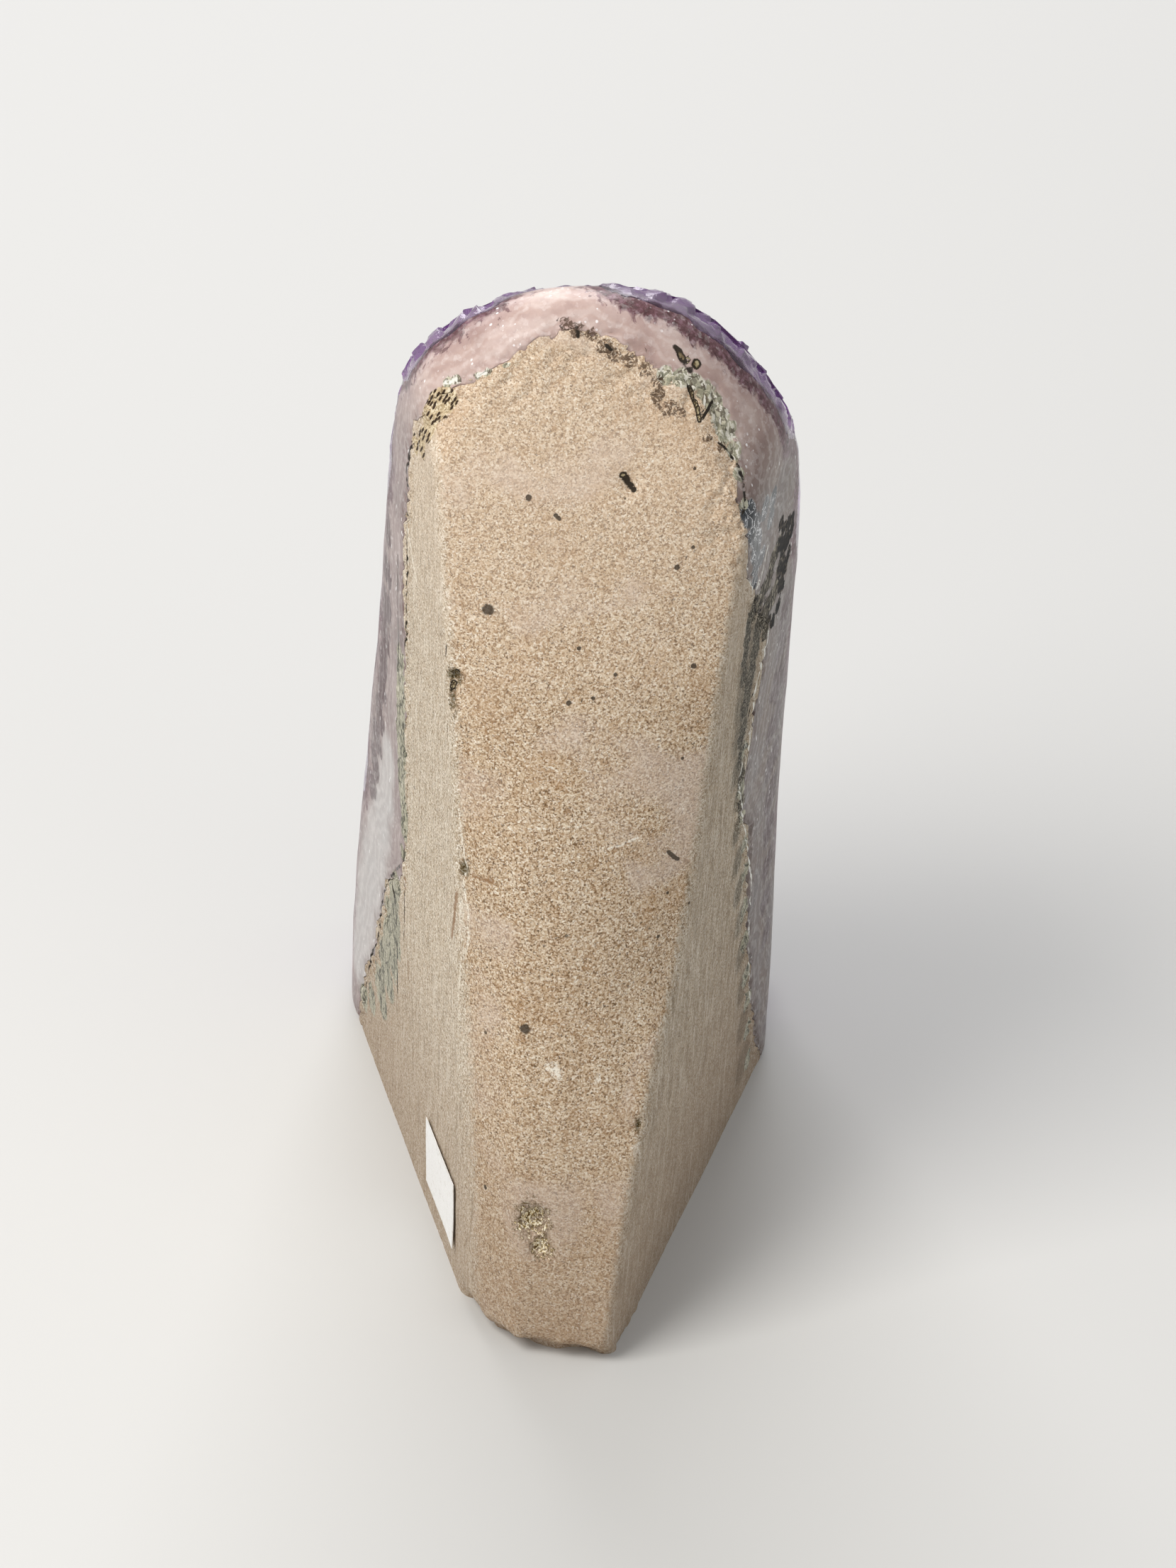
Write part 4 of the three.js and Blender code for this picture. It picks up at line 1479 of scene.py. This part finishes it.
    @staticmethod
    def _wedge_tone(graph: Graph, place):
        """Dark blue-grey chalcedony with white cracks."""
        cloudy = graph.noise(place, 0.35, 4.0, 0.6, 0.8)
        body = graph.ramp(cloudy, (0.3, "2B2E32"), (0.5, "42464A"), (0.7, "707274"))
        crack = graph.math("ABSOLUTE", graph.minus(graph.noise(place, 0.22, 4.0, 0.6, 1.5), 0.5))
        return graph.tint(body, "E6E7E8", crack, 0.02, 0.006, 0.9)

    @staticmethod
    def _veins(graph: Graph, bent):
        """The dark veins between the shards of the breccia."""
        coarse = graph.cells(bent, 0.5, "DISTANCE_TO_EDGE").outputs["Distance"]
        fine = graph.cells(bent, 1.3, "DISTANCE_TO_EDGE").outputs["Distance"]
        fine = graph.between(fine, 0.07, 0.0, 0.0, 0.5)
        return graph.larger(graph.between(coarse, 0.085, 0.02), fine)

    @staticmethod
    def _dashes(graph: Graph, place):
        """Short dark dashes that all lean one way."""
        along = graph.dot(place, (-0.478, -0.509, 0.71))
        across = graph.dot(place, (0.878, -0.294, 0.387))
        parts = {0: graph.times(along, 0.55), 1: graph.times(across, 1.35)}
        flat = graph.add("ShaderNodeCombineXYZ", parts).outputs[0]
        cells = graph.add("ShaderNodeTexVoronoi", {"Vector": flat, "Scale": 1.15}, voronoi_dimensions="2D")
        return graph.between(cells.outputs["Distance"], 0.34, 0.24)


@dataclass(frozen=True)
class GroundBasalt:
    """Sandy tan basalt, sawn on both sides and ground on its back."""

    grain: bpy.types.NodeTree
    minerals: bpy.types.NodeTree
    roughness: float = 0.85

    def material(self) -> bpy.types.Material:
        """Builds the material."""
        material, graph, shader = new_material("ground_basalt")
        place = graph.object_mm()
        grain = graph.group(self.grain, {"Place": place, "Grains per mm": 4.2})
        speckle = grain.outputs["Tone"]
        back = graph.ramp(
            speckle,
            (0.06, "4E4034"),
            (0.2, "8E7254"),
            (0.38, "B89C7C"),
            (0.6, "CBB497"),
            (0.8, "DCCCB4"),
            (0.97, "F0E8DA"),
        )
        cut = graph.ramp(speckle, (0.08, "716049"), (0.3, "B4A188"), (0.7, "D4C7B3"), (1.0, "F8F2E8"))
        rusty = graph.between(graph.noise(place, 0.11, 4.0, 0.6), 0.5, 0.68)
        back = graph.mix(graph.times(rusty, 0.25), back, "B58F66")
        burnt = graph.noise(place, 0.55, 5.0, 0.75)
        back = graph.tint(back, "9B7345", burnt, 0.54, 0.68, 0.45)
        back = graph.tint(back, "E3D5C2", burnt, 0.46, 0.34, 0.25)
        speck = graph.noise(place, 2.7, 3.0, 0.6)
        back = graph.tint(back, "6F4E2E", speck, 0.56, 0.66, 0.85)
        back = graph.tint(back, "F4ECE0", speck, 0.42, 0.34, 0.5)
        lilac = graph.between(graph.noise(place, 0.053, 3.0, 0.5, 0.4), 0.5, 0.66)
        back = graph.mix(graph.times(lilac, 0.45), back, "CDBBAE")
        left = graph.attribute("cut_left")
        right = graph.attribute("cut_right")
        sawn = graph.larger(left, right)
        worn = graph.times_plus(graph.noise(place, 0.9, 4.0, 0.7), 3.0, -1.5)
        colour = graph.mix(graph.between(graph.plus(sawn, worn), 0.2, 0.9), back, cut)
        # The right saw cut is made darker and browner, in soft upright streaks.
        browner = graph.mix(0.5, colour, "85745E")
        right_cut_streaks = graph.between(
            graph.noise(graph.scaled(place, (1.0, 1.0, 0.4)), 0.5, 4.0, 0.7), 0.42, 0.6, 0.55, 1.0
        )
        colour = graph.mix(graph.times(right, right_cut_streaks), colour, browner)
        dusk = graph.between(graph.attribute("shadowed"), 0.15, 0.85)
        coarse_dark = graph.ramp(
            speckle, (0.15, "37332B"), (0.5, "676052"), (0.8, "8C8473"), (1.0, "BDB4A3")
        )
        colour = graph.mix(graph.times(dusk, 0.75), colour, coarse_dark)
        colour = self._saw_streaks(graph, place, sawn, colour)
        colour = self._hatch(graph, place, colour)
        foot = graph.axis(place, 2)
        # Painted light: the back is paler towards the top.
        colour = graph.tint(colour, "EAD3BC", foot, 95.0, 150.0, 0.25)
        # Painted shade: the back is darker towards the foot.
        low = graph.between(foot, 60.0, 0.0, 0.0, 0.5)
        colour = graph.mix(low, colour, "96806C")
        colour, pitted = self._marks(graph, place, colour)
        dressed = graph.group(
            self.minerals, {"Colour": colour, "Roughness": self.roughness, "Grain": speckle}
        )
        finish = dressed.outputs
        graph.feed(shader, {"Base Color": finish["Colour"], "Roughness": finish["Roughness"]})
        shader.inputs["Specular IOR Level"].default_value = 0.3
        height = graph.times(grain.outputs["Height"], 0.35)
        height = graph.plus(height, graph.times(dressed.outputs["Height"], 0.6))
        height = graph.minus(height, graph.times(pitted, 0.5))
        bump_into(graph, shader, height, 0.16)
        return material

    @staticmethod
    def _saw_streaks(graph: Graph, place, cut, colour):
        """Fine streaks that run down the saw cuts."""
        streak = graph.noise(graph.scaled(place, (1.0, 1.2, 0.13)), 0.9, 5.0, 0.72, 0.3)
        light = graph.times(graph.between(streak, 0.52, 0.7, 0.0, 0.5), cut)
        dark = graph.times(graph.between(streak, 0.48, 0.3, 0.0, 0.55), cut)
        colour = graph.mix(light, colour, "F0E9DB")
        return graph.mix(dark, colour, "6E5F4B")

    @staticmethod
    def _hatch(graph: Graph, place, colour):
        """Faint slanting marks of the grinding wheel on the upper back."""
        upper = graph.distance(graph.scaled(place, (1.0, 1.0, 0.55)), (-2.0, 24.0, 70.0))
        there = graph.between(upper, 26.0, 10.0)
        run = graph.dot(place, (1.75, 0.72, 1.5))
        lines = graph.add(
            "ShaderNodeTexNoise",
            {"W": run, "Scale": 1.0, "Detail": 2.0},
            noise_dimensions="1D",
        ).outputs["Fac"]
        patchy = graph.between(graph.noise(place, 0.16, 2.0), 0.42, 0.6)
        mask = graph.times(graph.between(lines, 0.56, 0.7, 0.0, 0.3), there)
        return graph.mix(graph.times(mask, patchy), colour, "E3D6C6")

    @staticmethod
    def _marks(graph: Graph, place, colour):
        """Paints pits, spots, stains and scratches, and gives the colour and how pitted it is."""
        fray = graph.minus(graph.noise(place, 1.5, 4.0, 0.65), 0.5)
        stain = graph.times_plus(fray, 2.2, graph.reach("rusty_stains"))
        colour = graph.tint(colour, "8A6643", stain, 1.4, 0.6, 0.75)
        reach = graph.times_plus(fray, 2.2, graph.attribute("pit"))
        sparry = graph.noise(place, 2.4, 3.0, 0.75, 0.6)
        lining = graph.ramp(sparry, (0.41, "3F2E12"), (0.46, "8C6B2E"), (0.5, "DCC384"), (0.55, "FFF8E4"))
        upper = graph.between(graph.axis(place, 2), 30.0, 34.0, 0.0, 0.75)
        lining = graph.mix(upper, lining, "3B2F1C")
        colour = graph.mix(graph.between(reach, 0.95, 0.7), colour, lining)
        ring = graph.times(graph.between(reach, 1.3, 0.95), graph.between(reach, 0.66, 0.9))
        ring = graph.times(ring, graph.between(sparry, 0.58, 0.44, 0.1, 0.8))
        colour = graph.mix(ring, colour, "5A4828")
        spots = graph.times_plus(fray, 1.1, graph.reach("dark_spots"))
        spots = graph.between(spots, 1.2, 0.8)
        speck = graph.cells(place, 0.16)
        size = graph.between(graph.one_channel(speck.outputs["Color"]), 0.5, 1.0, 0.0, 0.055)
        tiny = graph.between(graph.minus(speck.outputs["Distance"], size), 0.01, -0.006)
        spots = graph.larger(spots, graph.times(tiny, 0.8))
        colour = graph.mix(graph.times(spots, 0.9), colour, "3F352A")
        scratch = graph.times_plus(fray, 3.0, graph.reach("scratches"))
        chalky = graph.between(graph.noise(place, 2.2, 4.0, 0.75), 0.42, 0.56, 0.0, 0.9)
        scratch = graph.times(graph.between(scratch, 1.3, 0.6), chalky)
        colour = graph.mix(scratch, colour, "F1EADC")
        sunk = graph.between(graph.reach("dark_spots"), 1.2, 0.6)
        return colour, graph.larger(sunk, graph.between(graph.attribute("pit"), 1.1, 0.7, 0.0, 0.4))


@dataclass(frozen=True)
class PolishedAgate:
    """Polished milky quartz and agate of one pink-tinged tone, with painted light and shade: lightest at the
    top, darker at the left and darkest at the right.
    """

    grain: bpy.types.NodeTree
    minerals: bpy.types.NodeTree
    roughness: float = 0.3

    def material(self) -> bpy.types.Material:
        """Builds the material."""
        material, graph, shader = new_material("polished_agate")
        place = graph.object_mm()
        split = graph.add("ShaderNodeSeparateXYZ", {0: place}).outputs
        cloudy = graph.noise(place, 0.12, 4.0, 0.6)
        # Painted light and shade: three copies of one tone, lit at the top, half shaded at the left and
        # shaded at the right.
        lit_tone = graph.ramp(cloudy, (0.3, "A38880"), (0.5, "BDA49B"), (0.7, "CFBCB3"))
        half_shaded_tone = graph.ramp(cloudy, (0.3, "6E5A55"), (0.5, "8C7975"), (0.7, "AC9D99"))
        shaded_tone = graph.ramp(cloudy, (0.3, "4C3F39"), (0.5, "65574F"), (0.7, "827469"))
        top = graph.between(split[2], 132.0, 156.0)
        right = graph.between(split[0], 2.0, -24.0)
        sides = graph.mix(right, half_shaded_tone, shaded_tone)
        colour = graph.mix(top, sides, lit_tone)
        # Painted shade: a little darker where the top turns to the right side.
        colour = graph.mix(graph.times(graph.times(top, right), 0.12), colour, shaded_tone)
        streaky = graph.noise(graph.scaled(place, (0.8, 0.8, 0.35)), 0.4, 5.0, 0.65, 0.8)
        cloud = graph.times_plus(cloudy, 0.8, graph.minus(graph.attribute("cloud"), 0.4))
        colour = graph.tint(colour, "D2D2CF", cloud, 0.1, 0.9, 0.6)
        maroon = graph.times_plus(streaky, 3.0, graph.minus(graph.attribute("maroon"), 1.5))
        maroon = graph.smaller(maroon, graph.between(graph.attribute("maroon"), 0.0, 0.5))
        colour = graph.tint(colour, "3F1F23", maroon, 0.35, 0.65, 0.9)
        colour = self._bands(graph, place, colour)
        colour = self._crystal_edge(graph, place, colour)
        milk = graph.group(self.grain, {"Place": place, "Grains per mm": 1.4}).outputs["Tone"]
        colour, glints = self._milk_and_glints(graph, place, milk, colour)
        dressed = graph.group(self.minerals, {"Colour": colour, "Roughness": self.roughness, "Grain": milk})
        worn = graph.plus(dressed.outputs["Roughness"], graph.between(cloudy, 0.4, 0.7, 0.0, 0.14))
        graph.feed(shader, {"Base Color": dressed.outputs["Colour"], "Roughness": worn})
        shader.inputs["Specular IOR Level"].default_value = 0.2
        shader.inputs["Coat Weight"].default_value = 0.06
        shader.inputs["Coat Roughness"].default_value = 0.1
        height = graph.times(dressed.outputs["Height"], 0.8)
        height = graph.plus(height, graph.times(glints, 0.1))
        bump_into(graph, shader, height, 0.12)
        return material

    @staticmethod
    def _bands(graph: Graph, place, colour):
        """Faint bands that follow the contact with the basalt."""
        depth = graph.attribute("seam")
        bent = graph.times_plus(graph.noise(place, 0.18, 4.0, 0.6), 7.0, depth)
        wave = graph.math("SINE", graph.times(bent, 2.4))
        light = graph.between(wave, 0.0, 1.0, 0.0, 0.14)
        dark = graph.between(wave, 0.0, -1.0, 0.0, 0.12)
        colour = graph.mix(light, colour, "EFE7E4")
        return graph.mix(dark, colour, "9C8788")

    @staticmethod
    def _crystal_edge(graph: Graph, place, colour):
        """The ragged purple-brown stain where the agate turns into crystal."""
        rim = graph.attribute("rim")
        ragged = graph.noise(graph.scaled(place, (1.0, 1.0, 0.6)), 0.55, 5.0, 0.65, 0.7)
        reach = graph.minus(rim, graph.times(graph.between(ragged, 0.35, 0.75), 4.5))
        stained = graph.between(reach, 0.4, -0.6)
        stain = graph.ramp(
            graph.noise(place, 0.9, 4.0, 0.7), (0.35, "3E2528"), (0.5, "5C3B40"), (0.65, "80606A")
        )
        veil = graph.between(rim, 5.0, 0.0, 0.0, 0.35)
        colour = graph.mix(veil, colour, "9C848C")
        wider = graph.between(graph.axis(place, 0), 6.0, -12.0, -2.0, -4.6)
        line = graph.times_plus(ragged, wider, rim)
        stained = graph.larger(graph.times(stained, 0.7), graph.between(line, 0.8, -0.2, 0.0, 0.95))
        return graph.mix(stained, colour, stain)

    @staticmethod
    def _milk_and_glints(graph: Graph, place, milk, colour):
        """Milky grain, and small white painted highlights as glints: the colour and the glints' mask."""
        glint_cells = graph.cells(graph.scaled(place, (1.3, 1.6, 0.8)), 0.85)
        size = graph.between(graph.one_channel(glint_cells.outputs["Color"]), 0.55, 1.0, 0.0, 0.3)
        glint = graph.between(graph.minus(glint_cells.outputs["Distance"], size), 0.02, -0.06)
        patches = graph.between(graph.noise(place, 0.2, 3.0), 0.45, 0.6)
        glint = graph.times(glint, patches)
        colour = graph.tint(colour, "F3EEEC", milk, 0.6, 1.0, 0.2)
        colour = graph.tint(colour, "8D7B7D", milk, 0.35, 0.0, 0.15)
        # Painted highlight: the glints are mixed in nearly white.
        return graph.mix(graph.times(glint, 0.75), colour, "FAF8F8"), glint


@dataclass(frozen=True)
class ClearAmethyst:
    """See-through quartz, nearly white at its root and violet towards its tips."""

    transmission: float = 0.75
    ior: float = 1.544
    absorbed: Colour = (0.88, 0.48, 0.90, 1.0)
    density: float = 70.0

    def material(self) -> bpy.types.Material:
        """Builds the material."""
        material, graph, shader = new_material("clear_amethyst")
        place = graph.object_mm()
        depth = graph.attribute("depth")
        zoned = graph.plus(depth, graph.times(graph.noise(place, 0.2, 4.0, 0.6), 6.0))
        colour = graph.ramp(
            graph.between(zoned, 1.0, 17.0),
            (0.0, "4A2C38"),
            (0.05, "704C62"),
            (0.1, "E4D2E6"),
            (0.3, "CDAADB"),
            (0.55, "B280C8"),
            (1.0, "9656B2"),
        )
        veils = graph.noise(place, 0.5, 5.0, 0.7, 1.5)
        colour = graph.tint(colour, "E6DDEF", veils, 0.56, 0.72, 0.5)
        rough = graph.between(veils, 0.45, 0.75, 0.03, 0.22)
        graph.feed(shader, {"Base Color": colour, "Roughness": rough})
        shader.inputs["Transmission Weight"].default_value = self.transmission
        shader.inputs["IOR"].default_value = self.ior
        striae = graph.noise(graph.scaled(place, (1.2, 5.0, 1.2)), 0.7, 3.0, 0.6)
        chipped = graph.noise(place, 1.6, 4.0, 0.65)
        height = graph.plus(graph.times(striae, 0.5), graph.times(chipped, 0.5))
        bump_into(graph, shader, height, 0.12)
        volume = graph.add("ShaderNodeVolumeAbsorption", {"Color": self.absorbed, "Density": self.density})
        graph.feed(graph.tree.nodes["Material Output"], {"Volume": volume.outputs[0]})
        return material


@dataclass(frozen=True)
class LabelPaper:
    """Matt white paper, a little soiled at its edges."""

    grain: bpy.types.NodeTree

    def material(self) -> bpy.types.Material:
        """Builds the material."""
        material, graph, shader = new_material("label_paper")
        flat = graph.add("ShaderNodeUVMap", uv_map="label").outputs[0]
        split = graph.add("ShaderNodeSeparateXYZ", {0: flat}).outputs
        place = graph.object_mm()
        fibres = graph.noise(place, 4.0, 4.0, 0.65, 0.8)
        colour = graph.ramp(fibres, (0.3, "E6E5E1"), (0.6, "F6F5F3"))
        edges = []
        for axis in (0, 1):
            centred = graph.math("ABSOLUTE", graph.minus(split[axis], 0.5))
            edges.append(graph.between(centred, 0.44, 0.5))
        edge = graph.larger(edges[0], edges[1])
        soil = graph.noise(place, 0.7, 4.0, 0.6)
        dirt = graph.times(edge, graph.between(soil, 0.45, 0.7, 0.1, 0.6))
        colour = graph.mix(dirt, colour, "C9C0AE")
        dust = graph.group(self.grain, {"Place": place, "Grains per mm": 1.2}).outputs["Tone"]
        colour = graph.tint(colour, "B8AD99", dust, 0.25, 0.05, 0.25)
        graph.feed(shader, {"Base Color": colour, "Roughness": graph.between(fibres, 0.3, 0.7, 0.5, 0.75)})
        bump_into(graph, shader, fibres, 0.02)
        return material


# ------------------------------------------------------------------- the studio


@dataclass
class Studio:
    """A plain pale floor, soft lights and the camera."""

    camera_place: Point = (-0.0032, 1.1033, 0.8740)
    lens_mm: float = 195.3

    def build(self) -> None:
        """Builds the whole studio."""
        self._camera()
        self._floor()
        self._world()
        self._light("key", (0.45, 0.30, 0.80), 0.45, 6.6, (1.0, 0.98, 0.95))
        self._light("fill", (-0.9, 0.9, 0.8), 0.9, 2.2, (0.96, 0.98, 1.0))
        self._light("front", (0.1, -1.0, 0.9), 0.8, 11.0, (0.98, 0.98, 1.0))
        bpy.context.scene.view_settings.view_transform = "Standard"

    def _camera(self) -> None:
        """Places the camera behind and above the specimen."""
        data = bpy.data.cameras.new("camera")
        data.lens = self.lens_mm
        data.sensor_width = 36.0
        data.clip_end = 20.0
        camera = bpy.data.objects.new("camera", data)
        bpy.context.scene.collection.objects.link(camera)
        right = Vector((-0.99968, -0.01487, 0.02047))
        up = Vector((0.02531, -0.58760, 0.80876))
        back = right.cross(up).normalized()
        turn = Matrix((right, up, back)).transposed().to_4x4()
        camera.matrix_world = Matrix.Translation(self.camera_place) @ turn
        bpy.context.scene.camera = camera

    def _floor(self) -> None:
        """Lays the floor."""
        half = 4.0
        corners = [(-half, -half, 0.0), (half, -half, 0.0), (half, half, 0.0), (-half, half, 0.0)]
        floor = mesh_object("floor", corners, [(0, 1, 2, 3)])
        material = bpy.data.materials.new("floor_paper")
        material.use_nodes = True
        shader = material.node_tree.nodes["Principled BSDF"]
        shader.inputs["Base Color"].default_value = tone("C9C8C5")
        shader.inputs["Roughness"].default_value = 0.75
        floor.data.materials.append(material)
        floor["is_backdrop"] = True

    def _world(self) -> None:
        """Sets a soft grey surrounding."""
        world = bpy.data.worlds.new("surrounding")
        world.use_nodes = True
        background = world.node_tree.nodes["Background"]
        background.inputs["Color"].default_value = (0.97, 0.98, 1.0, 1.0)
        background.inputs["Strength"].default_value = 0.45
        bpy.context.scene.world = world

    def _light(self, name: str, place: Point, size: float, watts: float, colour: Point) -> None:
        """Hangs a square soft light that faces the specimen."""
        data = bpy.data.lights.new(name, "AREA")
        data.shape = "SQUARE"
        data.size = size
        data.energy = watts
        data.color = colour
        light = bpy.data.objects.new(name, data)
        bpy.context.scene.collection.objects.link(light)
        light.location = place
        aim = Vector((0.0, 0.0, 0.09)) - Vector(place)
        light.rotation_euler = aim.to_track_quat("-Z", "Y").to_euler()


# --------------------------------------------------------------------- the part


@dataclass
class Cluster:
    """The whole specimen: its layers and its label."""

    nodes: dict[str, bpy.types.Object]

    def build(self) -> None:
        """Builds and dresses each piece, and hands it to its body."""
        grain = StoneGrain().group()
        minerals = ContactMinerals().group()
        lump = Lump(self.nodes)
        skin = lump.skin()
        basalt, agate, bed = lump.part(skin)
        LOG.info("parted the lump")
        crystal = ClearAmethyst().material()
        behind = (self.nodes["agate_band"], self.nodes["basalt_matrix"])
        growth = CrystalGrowth()
        druse = Druse(self.nodes["amethyst_crystals"], lump.druse_contact, growth, lump.bed_mm, behind)
        points = druse.build(bed, crystal)
        label = Label(self.nodes["paper_sticker"]).build()
        self._measure(basalt, agate, points, lump)
        self._dress(basalt, GroundBasalt(grain, minerals).material(), STONE_CREASE)
        self._dress(agate, PolishedAgate(grain, minerals).material(), STONE_CREASE)
        self._dress(points, crystal, CRYSTAL_CREASE)
        self._dress(label, LabelPaper(grain).material(), LABEL_CREASE)
        self._hand_in(basalt, "basalt_matrix", "basalt")
        self._hand_in(agate, "agate_band", "agate")
        self._hand_in(points, "amethyst_crystals", "amethyst")
        self._hand_in(label, "paper_sticker", "sticker_paper")

    @staticmethod
    def _dress(piece: bpy.types.Object, material: bpy.types.Material, crease_degrees: float) -> None:
        """Gives a piece its one material and its creases."""
        piece.data.materials.clear()
        piece.data.materials.append(material)
        for polygon in piece.data.polygons:
            polygon.material_index = 0
        shade(piece, crease_degrees)

    @staticmethod
    def _measure(
        basalt: bpy.types.Object, agate: bpy.types.Object, points: bpy.types.Object, lump: Lump
    ) -> None:
        """Stores on each piece the distances and zones that its material reads."""
        trees = {item.name: bvh_of(item) for item in (basalt, agate, points)}
        for piece, other in ((basalt, agate), (agate, basalt)):
            places = coordinates(piece.data)
            store(piece.data, "seam", distances_mm(places, trees[other.name]))
            for zone in ZONES:
                store(piece.data, zone.name, zone.at(places))
            for name, marks in CONTACT_STROKES.items():
                store_offsets(piece.data, name, stroke_offsets(places, marks))
        places = coordinates(basalt.data)
        store(basalt.data, "pit", np.minimum(np.min(pit_reaches(places), axis=0), PIT_FAR))
        for name, marks in BACK_STROKES.items():
            store_offsets(basalt.data, name, stroke_offsets(places, marks))
        for cut in SAW_CUTS:
            store(basalt.data, cut.name, cut.at(places))
        store(agate.data, "rim", distances_mm(coordinates(agate.data), trees[points.name]))
        store(points.data, "depth", -lump.druse_contact.at(coordinates(points.data)))

    @staticmethod
    def _hand_in(piece: bpy.types.Object, node: str, slot: str) -> None:
        """Puts a piece on the body in a node's place."""
        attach(piece, BODY)
        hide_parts(node)
        LOG.info("%s: %d faces", piece.name, len(piece.data.polygons))


def main() -> None:
    """Builds the dressed specimen and its studio."""
    logging.basicConfig(level=logging.INFO, format="%(name)s: %(message)s")
    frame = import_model()
    Studio().build()
    Cluster(frame["nodes"]).build()


if __name__ == "__main__":
    main()
